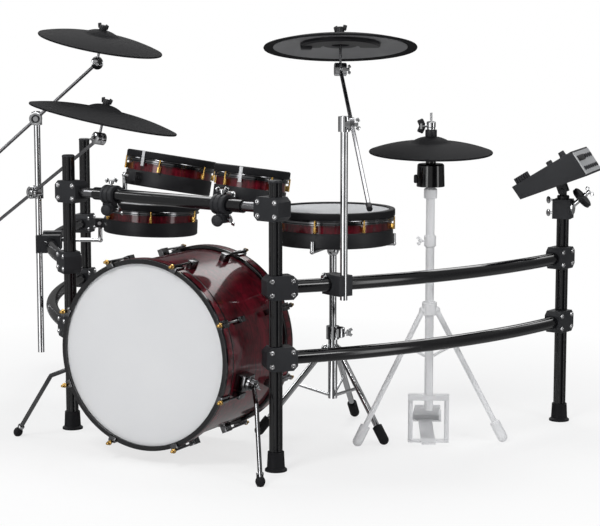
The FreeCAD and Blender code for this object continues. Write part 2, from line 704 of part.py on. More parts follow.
def cymbal_pad(diameter):
    """A rubber cymbal with its bell and bow, and a hole for the stem."""
    r = diameter / 2
    bell_edge = BELL_RISE * 0.42

    def side(z):
        """Bell and bow arcs, from the hole to the edge, lowered by z."""
        bell = Part.Arc(V(HOLE_R, 0, BELL_RISE - z), V(BELL_R * 0.62, 0, BELL_RISE * 0.83 - z),
                        V(BELL_R, 0, bell_edge - z))
        bow = Part.Arc(V(BELL_R, 0, bell_edge - z), V(r * 0.6, 0, bell_edge - BOW_DROP * 0.45 - z),
                       V(r, 0, -BOW_DROP - z * 0.55))
        return [bell.toShape(), bow.toShape()]

    top = side(0)
    under = side(PAD_T)
    edge = Part.Arc(V(r, 0, -BOW_DROP), V(r + 1.5, 0, -BOW_DROP - PAD_T * 0.275),
                    V(r, 0, -BOW_DROP - PAD_T * 0.55))
    hole = Part.LineSegment(V(HOLE_R, 0, BELL_RISE), V(HOLE_R, 0, BELL_RISE - PAD_T))
    wire = Part.Wire(Part.__sortEdges__(top + under + [edge.toShape(), hole.toShape()]))
    return Part.Face(wire).revolve(V(), UP, 360)


def wing_nut():
    """A winged sleeve that sits on a bell."""
    sleeve = Part.makeCylinder(NUT_R, NUT_H, V(0, 0, BELL_RISE + 0.1))
    out = NUT_R + NUT_WING[0] / 2 - 3
    wings = [block(NUT_WING, V(sign * out, 0, BELL_RISE + NUT_H * 0.75)) for sign in (-1, 1)]
    bore = Part.makeCylinder(HOLE_R, NUT_H * 2, V(0, 0, BELL_RISE - 1))
    return sleeve.fuse(wings).cut(bore).removeSplitter()


def stand_clamp(center, out, bores):
    """A block that holds a tube or an arm to a bar."""
    length, height = STAND_CLAMP
    frame = FreeCAD.Placement(center, FreeCAD.Rotation(out, UP.cross(out), UP, "XZY"))
    body = placed(block((length + 18, 46, height), V(9, 0, 0)), frame)
    return body.cut(bores)


def stand_nodes():
    """Boom tubes with their collars, booms, cymbals and the black clamps."""
    spots = stand_spots()
    tubes = [rod(spots["crash"] + UP * CRASH_TUBE[0], spots["crash"] + UP * CRASH_TUBE[1], STAND_TUBE_R),
             rod(spots["ride"] + UP * RIDE_TUBE[0], spots["ride"] + UP * RIDE_TUBE[1], STAND_TUBE_R)]
    bores = [front_bar(FIT)] + side_bars(FIT)
    for spot in spots.values():
        bores.append(rod(spot + UP * 100, spot + UP * 1000, STAND_TUBE_R + FIT))
    left = (FRONT_LEFT, LEFT_WAY, LEFT_OUT)
    right = (FRONT_RIGHT, RIGHT_WAY, RIGHT_OUT)
    clamps = [stand_clamp(side_bar_point(*left, CRASH_STAND_ALONG), LEFT_OUT, bores),
              stand_clamp(side_bar_point(*right, RIDE_STAND_ALONG), RIGHT_OUT, bores)]
    holders = {name: tom_clamp(name, bores) for name in TOMS}
    arms = [tom_arm(name, holder) for name, holder in holders.items()]
    clamps += list(holders.values())
    nodes = {
        "boom_tubes": tubes + [boom_collar(name) for name in CYMBALS],
        "stand_clamps": clamps,
        "tom_arms": arms,
    }
    for name in CYMBALS:
        frame = cymbal_frame(name)
        nodes[f"{name}_boom"] = [boom(name)]
        nodes[f"{name}_cymbal"] = [placed(cymbal_pad(CYMBALS[name][0]), frame), placed(wing_nut(), frame)]
    return nodes


# Hi-hat and its stand

def hihat_nodes():
    """Hi-hat pad, rod with clutch, controller, stand and pedal."""
    center = at(*HIHAT_AT)
    radius, low, high = CONTROLLER
    tube_r, bore_r, tube_low = HIHAT_TUBE
    puck_r, puck_h = CONTROLLER_PUCK
    rod_bore = Part.makeCylinder(HIHAT_ROD_R + RUN, BORE_TOOL, center)
    controller = placed(lathe([(0, low), (radius, low), (radius - 2, high - 4), (radius - 6, high), (puck_r, high),
                               (puck_r, high + puck_h), (0, high + puck_h)]),
                        FreeCAD.Placement(center, FreeCAD.Rotation()))
    pad = placed(cymbal_pad(HIHAT_D), FreeCAD.Placement(center + UP * HIHAT_Z, FreeCAD.Rotation()))
    low_rod, high_rod = HIHAT_ROD
    clutch_z = HIHAT_Z + BELL_RISE - PAD_T - 2
    pull = rod(center + UP * low_rod, center + UP * high_rod, HIHAT_ROD_R)
    clutch = disc(center + UP * clutch_z, UP, HOLE_R - FIT, PAD_T + 4)
    sleeve = disc(center + UP * (HIHAT_Z + BELL_RISE + FIT), UP, CLUTCH_R, CLUTCH_H)
    collar = disc(center + UP * (clutch_z - 4), UP, HOLE_R + 3, 4)
    screw = rod(center + UP * (HIHAT_Z + BELL_RISE + CLUTCH_H * 0.7),
                center + UP * (HIHAT_Z + BELL_RISE + CLUTCH_H * 0.7) + turn(V(30, 0, 0), 220), 4)
    wing = block((6, 22, 16), V(30, 0, HIHAT_Z + BELL_RISE + CLUTCH_H * 0.7))
    wing.rotate(V(), UP, 220)
    wing.translate(center)
    pull = pull.fuse([clutch, sleeve, screw, wing, collar]).removeSplitter()

    tube = Part.makeCylinder(tube_r, low - tube_low, center + UP * tube_low)
    tube = tube.cut(Part.makeCylinder(bore_r, BORE_TOOL, center))
    stand = [tube]
    for angle in HIHAT_LEGS:
        out = turn(V(1, 0, 0), angle)
        foot = center + out * HIHAT_LEG_REACH
        stand += leg_with_brace(center, out, HIHAT_LEG_TOP, HIHAT_LEG_REACH, HIHAT_LEG_R, HIHAT_BRACE_Z, tube_r,
                                HIHAT_FOOT)
    return {
        "hihat_cymbal": [pad],
        "hihat_rod": [pull],
        "hihat_controller": [controller.cut(rod_bore)],
        "hihat_stand": stand + [pedal_frame()],
        "hihat_pedal": [pedal_board()],
    }


def leg_with_brace(center, out, top, reach, radius, brace_z, tube_r, foot_size):
    """A stand's leg, its shoe and the flat brace to the tube, as separate solids."""
    foot_r, foot_h = foot_size
    start = center + out * (tube_r + FIT + radius) + UP * top
    end = center + out * reach + UP * foot_r
    tube = Part.makeCylinder(tube_r + FIT, BORE_TOOL, center)
    leg = rod(start, end, radius).fuse(Part.makeSphere(radius + 3, start)).cut(tube).removeSplitter()
    way = (end - start).normalize()
    shoe = rod(end - way * foot_h, end, foot_r).fuse(Part.makeSphere(foot_r, end)).cut(leg).removeSplitter()
    share = (top - brace_z) / (top - foot_r) * 0.75
    joint = start + (end - start) * share
    root = center + out * (tube_r + FIT) + UP * brace_z
    brace = rod(root, joint, radius * 0.55).cut([leg, tube])
    return leg.Solids[:1] + largest(shoe) + largest(brace)


def largest(shape):
    """The biggest solid of a cut shape, as a list."""
    return [max(shape.Solids, key=lambda solid: solid.Volume)]


def pedal_base():
    """The pedal's frame: X runs from the stand to the heel."""
    return FreeCAD.Placement(at(*HIHAT_AT), FreeCAD.Rotation(UP, PEDAL_YAW))


def pedal_pin():
    """The pedal's hinge, in its own frame."""
    return V(PEDAL_BACK + PEDAL_LENGTH, 0, PEDAL_PIN_Z)


def pedal_frame():
    """Floor plate, uprights and heel block that carry the stand and the pedal."""
    tube_r, bore_r, tube_low = HIHAT_TUBE
    pin = pedal_pin()
    length = pin.x + HEEL_LENGTH
    plate = Part.makeBox(length + 40, PEDAL_WIDTH * 0.5, BASE_T, V(-40, -PEDAL_WIDTH * 0.25, 0))
    heel = Part.makeBox(HEEL_LENGTH, PEDAL_WIDTH, PEDAL_PIN_Z - 2, V(pin.x + 9, -PEDAL_WIDTH / 2, 0))
    ears = [Part.makeBox(22, 8, PEDAL_PIN_Z + 9, V(pin.x - 9, side, 0)) for side in
            (-PEDAL_WIDTH / 2 - 8 - RUN, PEDAL_WIDTH / 2 + RUN)]
    spread = Part.makeBox(22, PEDAL_WIDTH + 16 + 2 * RUN, BASE_T, V(pin.x - 9, -PEDAL_WIDTH / 2 - 8 - RUN, 0))
    pivot = rod(V(pin.x, -PEDAL_WIDTH / 2 - 8 - RUN, pin.z), V(pin.x, PEDAL_WIDTH / 2 + 8 + RUN, pin.z), 4)
    half = PEDAL_WIDTH / 2 + 12
    posts = [rod(V(0, side * half, 0), V(0, side * half, tube_low + 40), 7) for side in (-1, 1)]
    foot = Part.makeBox(30, 2 * half + 14, BASE_T, V(-15, -half - 7, 0))
    yoke = block((30, 2 * half + 14, 16), V(0, 0, tube_low + 40))
    yoke = yoke.cut(Part.makeCylinder(tube_r + FIT, 200))
    frame = plate.fuse([heel, spread, pivot, foot, yoke] + ears + posts).removeSplitter()
    return placed(frame, pedal_base())


def pedal_board():
    """The foot board, hinged at the heel, with a toe link to the rod."""
    pin = pedal_pin()
    corner = V(-PEDAL_LENGTH + 10, -PEDAL_WIDTH / 2 + 4, -PEDAL_T / 2)
    board = Part.makeBox(PEDAL_LENGTH - 10, PEDAL_WIDTH - 8, PEDAL_T, corner)
    knuckle = rod(V(0, -PEDAL_WIDTH / 2, 0), V(0, PEDAL_WIDTH / 2, 0), 8)
    board = board.fuse(knuckle).cut(rod(V(0, -PEDAL_WIDTH, 0), V(0, PEDAL_WIDTH, 0), 4 + RUN)).removeSplitter()
    board.rotate(V(), V(0, 1, 0), PEDAL_SLOPE)
    board.translate(pin)
    return placed(board, pedal_base())


# Snare and its stand

def snare_pivot():
    """The middle of the basket's ball joint."""
    rest = SNARE_AT[2] + PAD_FLOOR_Z
    return at(SNARE_AT[0], SNARE_AT[1], rest - FIT - BASKET_ARM_R * 2 - BASKET_DROP)


def snare_nodes():
    """The snare pad, its basket, height slider, tube and tripod."""
    frame = pad_frame(SNARE_AT, (0.0, 0.0), 0.0)
    nodes = pad_drum("snare", SNARE_D, SNARE_LUGS, frame, False)
    center = at(SNARE_AT[0], SNARE_AT[1])
    rest = SNARE_AT[2] + PAD_FLOOR_Z
    pivot = snare_pivot()
    ball = BASKET_ARM_R + BASKET_BALL
    grip = SNARE_D / 2 + PAD_BASE_OVER + FIT + ball
    hub = Part.makeSphere(BASKET_HUB_R, pivot)
    arms = []
    for number in range(3):
        out = turn(V(1, 0, 0), 50 + 120 * number)
        arm_z = UP * (rest - FIT - ball)
        inner = pivot + out * (BASKET_HUB_R / 2)
        shoulder = center + out * (BASKET_HUB_R + 26) + arm_z
        arms.append(bent_rod([inner, shoulder, center + out * grip + arm_z,
                              center + out * grip + arm_z + UP * (BASKET_GRIP + ball)], BASKET_ARM_R, BASKET_BALL))
    nodes["snare_basket"] = [hub.fuse(arms).removeSplitter()]
    slider = rod(center + UP * SLIDER_BOTTOM, pivot - UP * (BASKET_HUB_R - SLIDER_CUP), SLIDER_R)
    nodes["snare_stand_slider"] = [slider.cut(Part.makeSphere(BASKET_HUB_R + RUN, pivot))]
    tube = Part.makeCylinder(STAND_R, STAND_TOP - STAND_BASE, center + UP * STAND_BASE)
    collar = Part.makeCylinder(STAND_R + 6, 40, center + UP * (STAND_TOP - 40))
    screw = rod(center + UP * (STAND_TOP - 20), center + turn(V(46, 0, 0), 30) + UP * (STAND_TOP - 20), 4)
    wing = block((6, 24, 16), V(46, 0, STAND_TOP - 20))
    wing.rotate(V(), UP, 30)
    wing.translate(center)
    bore = Part.makeCylinder(STAND_BORE, BORE_TOOL, center)
    tube = tube.fuse([collar, screw, wing]).cut(bore).removeSplitter()
    nodes["snare_stand_tube"] = [tube]
    legs = []
    feet = []
    for number in range(3):
        out = turn(V(1, 0, 0), SNARE_LEG_FIRST + 120 * number)
        leg, shoe, brace = leg_with_brace(center, out, SNARE_LEG_TOP, SNARE_LEG_REACH, SNARE_LEG_R, SNARE_BRACE_Z,
                                          STAND_R, SNARE_FOOT)
        legs += [leg, brace]
        feet.append(shoe)
    nodes["snare_stand_legs"] = legs
    nodes["snare_stand_feet"] = feet
    return nodes


# Sound module. Its own frame: X from the player's edge to the jacks, Z out of the bottom's top side.

def module_frame():
    """The module's frame, with its origin on the tilt pivot."""
    pivot = POSTS["rear_right"] + UP * MODULE_PIVOT_Z
    yaw = FreeCAD.Rotation(UP, MODULE_YAW)
    return FreeCAD.Placement(pivot, yaw.multiply(FreeCAD.Rotation(V(0, 1, 0), -MODULE_TILT)))


def module_top(share):
    """A point on the module's top face, from its front edge to its rear edge."""
    front = V(-MODULE_LENGTH / 2 - MODULE_FRONT_LEAN, 0, MODULE_PIVOT_DROP + MODULE_FRONT_H)
    rear = V(MODULE_LENGTH / 2 - MODULE_REAR_LEAN, 0, MODULE_PIVOT_DROP + MODULE_REAR_H)
    return front + (rear - front) * share


MODULE_FACE = (module_top(1) - module_top(0)).normalize()
MODULE_NORMAL = MODULE_FACE.cross(V(0, 1, 0))


def module_nodes():
    """Case, jack panel, knobs, buttons and the bracket on the rear right post."""
    frame = module_frame()
    half = MODULE_WIDTH / 2
    low_front = V(-MODULE_LENGTH / 2, 0, MODULE_PIVOT_DROP)
    low_rear = V(MODULE_LENGTH / 2, 0, MODULE_PIVOT_DROP)
    outline = [low_front, low_rear, module_top(1), module_top(0)]
    outline = [p - V(0, half, 0) for p in outline]
    case = Part.Face(Part.makePolygon(outline + outline[:1])).extrude(V(0, MODULE_WIDTH, 0))
    panel_t, border = JACK_PANEL
    rear = (module_top(1) - low_rear)
    rear_out = V(0, 1, 0).cross(rear).normalize()
    corner = low_rear + rear.normalize() * border
    tall = module_top(1).distanceToPoint(low_rear) - 2 * border
    panel = Part.makeBox(MODULE_WIDTH - 2 * border, tall, panel_t)
    turned = FreeCAD.Rotation(V(0, 1, 0), rear, rear_out, "ZXY")
    panel.Placement = FreeCAD.Placement(corner - V(0, half - border, 0), turned)
    ear_t, ear_h = MODULE_EAR
    ears = []
    for side in (-1, 1):
        ears.append(block((28, ear_t, ear_h), V(0, side * (ear_t + RUN), MODULE_PIVOT_DROP + 4 - ear_h / 2)))
    bore = rod(V(0, -60, 0), V(0, 60, 0), PIN_R + RUN)
    keys, pockets = module_keys()
    case = case.fuse([e.cut(bore) for e in ears]).removeSplitter().cut(pockets)
    nodes = {"module_case": [placed(case, frame)], "module_jack_panel": [placed(panel, frame)]}
    for name, (share, across) in KNOBS.items():
        spot = module_top(share) + V(0, across, 0) + MODULE_NORMAL * RUN
        nodes[f"module_{name}_knob"] = [placed(disc(spot, MODULE_NORMAL, KNOB_R, KNOB_H), frame)]
    nodes["module_buttons"] = [placed(key, frame) for key in keys]
    nodes["module_bracket"] = [module_bracket()]
    return nodes


def module_keys():
    """The row of buttons and the pockets that they travel in."""
    turned = FreeCAD.Rotation(MODULE_FACE, V(0, 1, 0), MODULE_NORMAL, "XYZ")
    long, wide, tall = BUTTON
    depth = tall - BUTTON_RISE + BUTTON_TRAVEL + RUN
    keys = []
    pockets = []
    for number in range(BUTTONS):
        across = (number - (BUTTONS - 1) / 2) * BUTTON_PITCH
        place = FreeCAD.Placement(module_top(BUTTON_AT) + V(0, across, 0), turned)
        keys.append(placed(block(BUTTON, V(0, 0, BUTTON_RISE - tall / 2)), place))
        pocket = block((long + 2 * RUN, wide + 2 * RUN, depth + tall), V(0, 0, (tall - depth) / 2))
        pockets.append(placed(pocket, place))
    return keys, pockets


def module_bracket():
    """The post-top clamp with the ear and pin that the module tilts on."""
    base = POSTS["rear_right"]
    top = POST_TOP["rear_right"]
    frame = FreeCAD.Placement(base, FreeCAD.Rotation(UP, MODULE_YAW))
    ear_t = MODULE_EAR[0]
    body = block((56, 58, 60), V(0, 0, top - 28))
    ear_top = MODULE_PIVOT_Z + PIN_R + 3
    ear = block((20, ear_t - RUN, ear_top - top), V(0, 0, (ear_top + top) / 2))
    pin = rod(V(0, -ear_t * 1.9, MODULE_PIVOT_Z), V(0, ear_t * 1.9, MODULE_PIVOT_Z), PIN_R)
    bore = Part.makeCylinder(POST_R + FIT, top, V(0, 0, 0))
    return placed(body.cut(bore).fuse([ear, pin]).removeSplitter(), frame)


def all_nodes():
    """Every node's solids by name."""
    nodes = {}
    for group in (rack_nodes, kick_nodes, snare_nodes, tom_nodes, stand_nodes, hihat_nodes, module_nodes):
        nodes.update(group())
    return nodes


def main():
    """Write one STEP file for each node."""
    os.makedirs("parts", exist_ok=True)
    for name, solids in all_nodes().items():
        shape = solids[0] if len(solids) == 1 else Part.makeCompound(solids)
        shape.exportStep(os.path.join("parts", name + ".step"))


if __name__ == "__main__":
    main()
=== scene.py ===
"""Looks of an electronic drum kit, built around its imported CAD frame.

Metres, +Z up, floor at z = 0. X runs along the front bar, Y back to the player.
"""
from __future__ import annotations

import json
import logging
import math
from collections.abc import Callable, Iterable, Iterator, Sequence
from dataclasses import dataclass
from enum import Enum
from functools import cached_property

import bmesh
import bpy
from mathutils import Matrix, Vector

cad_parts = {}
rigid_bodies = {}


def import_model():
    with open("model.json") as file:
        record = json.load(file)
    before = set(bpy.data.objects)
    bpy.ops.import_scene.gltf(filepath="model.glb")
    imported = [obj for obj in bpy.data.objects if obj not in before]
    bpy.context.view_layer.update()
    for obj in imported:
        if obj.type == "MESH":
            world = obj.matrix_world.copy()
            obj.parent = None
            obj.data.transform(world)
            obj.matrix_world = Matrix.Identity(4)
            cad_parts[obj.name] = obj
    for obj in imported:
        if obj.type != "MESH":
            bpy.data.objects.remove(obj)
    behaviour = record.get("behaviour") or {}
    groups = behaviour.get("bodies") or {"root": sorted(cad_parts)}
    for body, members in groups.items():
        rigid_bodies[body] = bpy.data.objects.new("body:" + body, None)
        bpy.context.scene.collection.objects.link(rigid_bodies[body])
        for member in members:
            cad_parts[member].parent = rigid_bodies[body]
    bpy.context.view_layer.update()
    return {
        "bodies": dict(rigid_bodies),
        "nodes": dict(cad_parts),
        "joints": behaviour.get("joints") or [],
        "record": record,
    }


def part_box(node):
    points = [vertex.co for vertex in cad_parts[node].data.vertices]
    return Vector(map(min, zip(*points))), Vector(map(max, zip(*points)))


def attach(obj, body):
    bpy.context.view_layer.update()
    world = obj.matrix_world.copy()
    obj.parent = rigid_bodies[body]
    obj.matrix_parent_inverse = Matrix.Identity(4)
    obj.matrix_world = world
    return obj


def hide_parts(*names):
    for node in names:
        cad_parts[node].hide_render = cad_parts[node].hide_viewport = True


LOG = logging.getLogger("drum_kit")
Pair = tuple[float, float]
Triple = tuple[float, float, float]
Profile = Sequence[Pair]
Mesh = bmesh.types.BMesh
Group = list[bmesh.types.BMVert]
UP = Vector((0.0, 0.0, 1.0))
SMOOTH_LIMIT = math.radians(35.0)
WHITE = (1.0, 1.0, 1.0, 1.0)
WELD = 1e-6


class Term:
    """A shader socket that takes part in Python expressions."""

    def __init__(self, shader: Shader, socket: bpy.types.NodeSocket) -> None:
        """Keep the socket and the shader that it belongs to."""
        self.shader = shader
        self.socket = socket

    def _math(self, operation: str, first: Operand, second: Operand) -> Term:
        """Add one Math node over two operands."""
        return self.shader.term("ShaderNodeMath", {"operation": operation}, {0: first, 1: second})

    def __add__(self, other: Operand) -> Term:
        """Sum."""
        return self._math("ADD", self, other)

    def __radd__(self, other: Operand) -> Term:
        """Sum with a number on the left."""
        return self._math("ADD", other, self)

    def __sub__(self, other: Operand) -> Term:
        """Difference."""
        return self._math("SUBTRACT", self, other)

    def __rsub__(self, other: Operand) -> Term:
        """Difference with a number on the left."""
        return self._math("SUBTRACT", other, self)

    def __mul__(self, other: Operand) -> Term:
        """Product."""
        return self._math("MULTIPLY", self, other)

    def __rmul__(self, other: Operand) -> Term:
        """Product with a number on the left."""
        return self._math("MULTIPLY", other, self)

    def band(self, low: float, high: float) -> Term:
        """Stretch low..high to 0..1 and clamp it."""
        sockets = {"Value": self, "From Min": low, "From Max": high}
        return self.shader.term("ShaderNodeMapRange", {"clamp": True}, sockets)


Operand = Term | float


class Shader:
    """The node tree of a material or world, and the few kinds of node that the finishes use."""

    def __init__(self, owner: bpy.types.Material | bpy.types.World) -> None:
        """Start an empty node tree in a new material or world."""
        self.owner = owner
        owner.use_nodes = True
        self.tree = owner.node_tree
        self.tree.nodes.clear()
        self.place = self.term("ShaderNodeTexCoord", {}, {}, "Object")

    def node(self, kind: str, settings: dict, sockets: dict) -> bpy.types.Node:
        """Add a node.

        Args:
            kind: the node's type.
            settings: attributes that are set first; "stops" fills a colour ramp.
            sockets: values or links of its inputs, by name or number.

        Returns:
            The new node.
        """
        node = self.tree.nodes.new(kind)
        for key, value in settings.items():
            if key == "stops":
                ramp = node.color_ramp
                while len(ramp.elements) < len(value):
                    ramp.elements.new(0.5)
                for element, (position, colour) in zip(ramp.elements, value):
                    element.position = position
                    element.color = (*colour, 1.0)
            else:
                setattr(node, key, value)
        for key, value in sockets.items():
            if isinstance(value, Term):
                self.tree.links.new(value.socket, node.inputs[key])
            else:
                node.inputs[key].default_value = value
        return node

    def term(self, kind: str, settings: dict, sockets: dict, output: str | int = 0) -> Term:
        """Add a node and take one of its outputs, by name or number."""
        return Term(self, self.node(kind, settings, sockets).outputs[output])

    def noise(self, scale: float, detail: float, distortion: float = 0.0,
              place: Term | None = None) -> Term:
        """Add a noise texture, by features per metre, over the object's place or another."""
        return self.term("ShaderNodeTexNoise", {}, {
            "Vector": place or self.place, "Scale": scale, "Detail": detail, "Distortion": distortion})

    def stretched(self, scale: Triple, turn: Triple = (0.0, 0.0, 0.0)) -> Term:
        """Scale the object's coordinates by axis, after a turn in radians."""
        sockets = {"Vector": self.place, "Scale": scale, "Rotation": turn}
        return self.term("ShaderNodeMapping", {}, sockets)

    def wave(self, scale: float, direction: str, rings: bool = False) -> Term:
        """Add a sine wave texture.

        Args:
            scale: waves per metre, roughly, over three.
            direction: the axis that it runs along, or turns about.
            rings: whether it makes rings and not bands.

        Returns:
            The wave's value.
        """
        kind = "rings" if rings else "bands"
        settings = {"wave_type": kind.upper(), f"{kind}_direction": direction}
        return self.term("ShaderNodeTexWave", settings, {"Vector": self.place, "Scale": scale}, "Fac")

    def ray(self, kind: str) -> Term:
        """Tell camera, glossy or transmission rays, as 1, from the others."""
        return self.term("ShaderNodeLightPath", {}, {}, f"Is {kind} Ray")

    def mix(self, share: Term, first: Term, second: Term) -> Term:
        """Mix two surfaces by the share of the second."""
        return self.term("ShaderNodeMixShader", {}, {0: share, 1: first, 2: second})

    def ramp(self, value: Term, stops: Sequence[tuple[float, Triple]]) -> Term:
        """Turn a value into a colour between stops."""
        return self.term("ShaderNodeValToRGB", {"stops": stops}, {"Fac": value})

    def finish(self, colour: Term, roughness: Term, height: Term, fixed: dict, bump: float,
               depth: float) -> None:
        """Close the tree with a principled surface.

        Args:
            colour: base colour.
            roughness: roughness.
            height: what the bump follows.
            fixed: the surface's sockets that are the same all over.
            bump: the bump's strength.
            depth: the bump's depth in metres.
        """
        relief = {"Strength": bump, "Distance": depth, "Height": height}
        normal = self.term("ShaderNodeBump", {}, relief)
        sockets = {"Base Color": colour, "Roughness": roughness, "Normal": normal, **fixed}
        surface = self.term("ShaderNodeBsdfPrincipled", {}, sockets)
        self.node("ShaderNodeOutputMaterial", {}, {"Surface": surface})


@dataclass(frozen=True)
class Finish:
    """A surface with a fine grain and a faint drift of colour and gloss."""

    name: str
    colour: Triple
    shade: Triple
    roughness: float
    spread: float = 0.08
    metallic: float = 0.0
    coat: float = 0.0
    grain: float = 900.0
    drift: float = 9.0
    bump: float = 0.12
    depth: float = 0.0004
    specular: float = 0.5
    coat_roughness: float = 0.06
    slot: str = ""

    @property
    def title(self) -> str:
        """The material's name, apart from the record's own slots."""
        return f"{self.name}_finish"

    def fixed(self) -> dict:
        """The sockets that are the same all over."""
        return {"Metallic": self.metallic, "Coat Weight": self.coat,
                "Coat Roughness": self.coat_roughness, "Specular IOR Level": self.specular}

    def layers(self, shader: Shader) -> tuple[Term, Term, Term]:
        """Lay out the colour, roughness and height.

        Args:
            shader: the material's tree.

        Returns:
            Colour, roughness and height.
        """
        drift = shader.noise(self.drift, 4.0)
        grain = shader.noise(self.grain, 2.0)
        colour = self.tint(shader, drift * 0.8 + grain * 0.2)
        roughness = self.roughness - self.spread / 2 + self.spread * (drift * 0.5 + grain * 0.5)
        return colour, roughness, grain

    def tint(self, shader: Shader, value: Term) -> Term:
        """Run from the shade to the colour."""
        return shader.ramp(value, [(0.3, self.shade), (0.7, self.colour)])

    def build(self) -> bpy.types.Material:
        """Make the material."""
        shader = Shader(bpy.data.materials.new(self.title))
        colour, roughness, height = self.layers(shader)
        shader.finish(colour, roughness, height, self.fixed(), self.bump, self.depth)
        return shader.owner


@dataclass(frozen=True)
class FiguredLacquer(Finish):
    """Wine-red lacquer over a figured veneer, under a clear coat."""

    bright: Triple = (0.17, 0.005, 0.016)

    def layers(self, shader: Shader) -> tuple[Term, Term, Term]:
        """Swirl a flame figure between the dark and the bright red.

        Args:
            shader: the material's tree.

        Returns:
            Colour, roughness and height.
        """
        along = shader.stretched((1.0, 1.0, 0.3), (0.0, 0.0, -0.21))
        flame = shader.noise(34.0, 6.0, 1.2, along)
        streak = shader.noise(120.0, 3.0, 0.6, along)
        pores = shader.noise(420.0, 2.0, 0.0, along)
        value = flame * 0.5 + streak * 0.34 + pores * 0.16
        colour = shader.ramp(value, [(0.36, self.shade), (0.5, self.colour), (0.64, self.bright)])
        return colour, self.roughness + 0.05 * pores, pores


@dataclass(frozen=True)
class WovenMesh(Finish):
    """A tight two-way mesh drumhead."""

    pitch: float = 900.0

    def layers(self, shader: Shader) -> tuple[Term, Term, Term]:
        """Cross two sets of fine threads.

        Args:
            shader: the material's tree.

        Returns:
            Colour, roughness and height.
        """
        warp = shader.wave(self.pitch / 3.0, "X")
        weft = shader.wave(self.pitch / 3.0, "Y")
        threads = warp * 0.5 + weft * 0.5
        drift = shader.noise(self.drift, 3.0)
        colour = shader.ramp(threads * 0.75 + drift * 0.25, [(0.2, self.shade), (0.75, self.colour)])
        return colour, self.roughness + self.spread * threads, threads


@dataclass(frozen=True)
class TurnedRubber(Finish):
    """Cymbal rubber with fine rings about the pad's own axis."""

    rings: float = 70.0

    def layers(self, shader: Shader) -> tuple[Term, Term, Term]:
        """Lay rings over the rubber's grain.

        Args:
            shader: the material's tree.

        Returns:
            Colour, roughness and height.
        """
        rings = shader.wave(self.rings, "Z", True)
        grain = shader.noise(self.grain, 2.0)
        drift = shader.noise(self.drift, 4.0)
        colour = self.tint(shader, drift * 0.7 + rings * 0.15 + grain * 0.15)
        roughness = self.roughness + self.spread * (drift - 0.5)
        return colour, roughness, rings * 0.7 + grain * 0.3


@dataclass(frozen=True)
class BrushedMetal(Finish):
    """Metal with fine hairlines along one axis."""

    lines: Triple = (3.0, 300.0, 3.0)

    def layers(self, shader: Shader) -> tuple[Term, Term, Term]:
        """Stretch the grain into hairlines.

        Args:
            shader: the material's tree.

        Returns:
            Colour, roughness and height.
        """
        hair = shader.noise(12.0, 3.0, 0.0, shader.stretched(self.lines))
        drift = shader.noise(self.drift, 3.0)
        colour = self.tint(shader, hair * 0.6 + drift * 0.4)
        return colour, self.roughness + self.spread * (hair - 0.5), hair


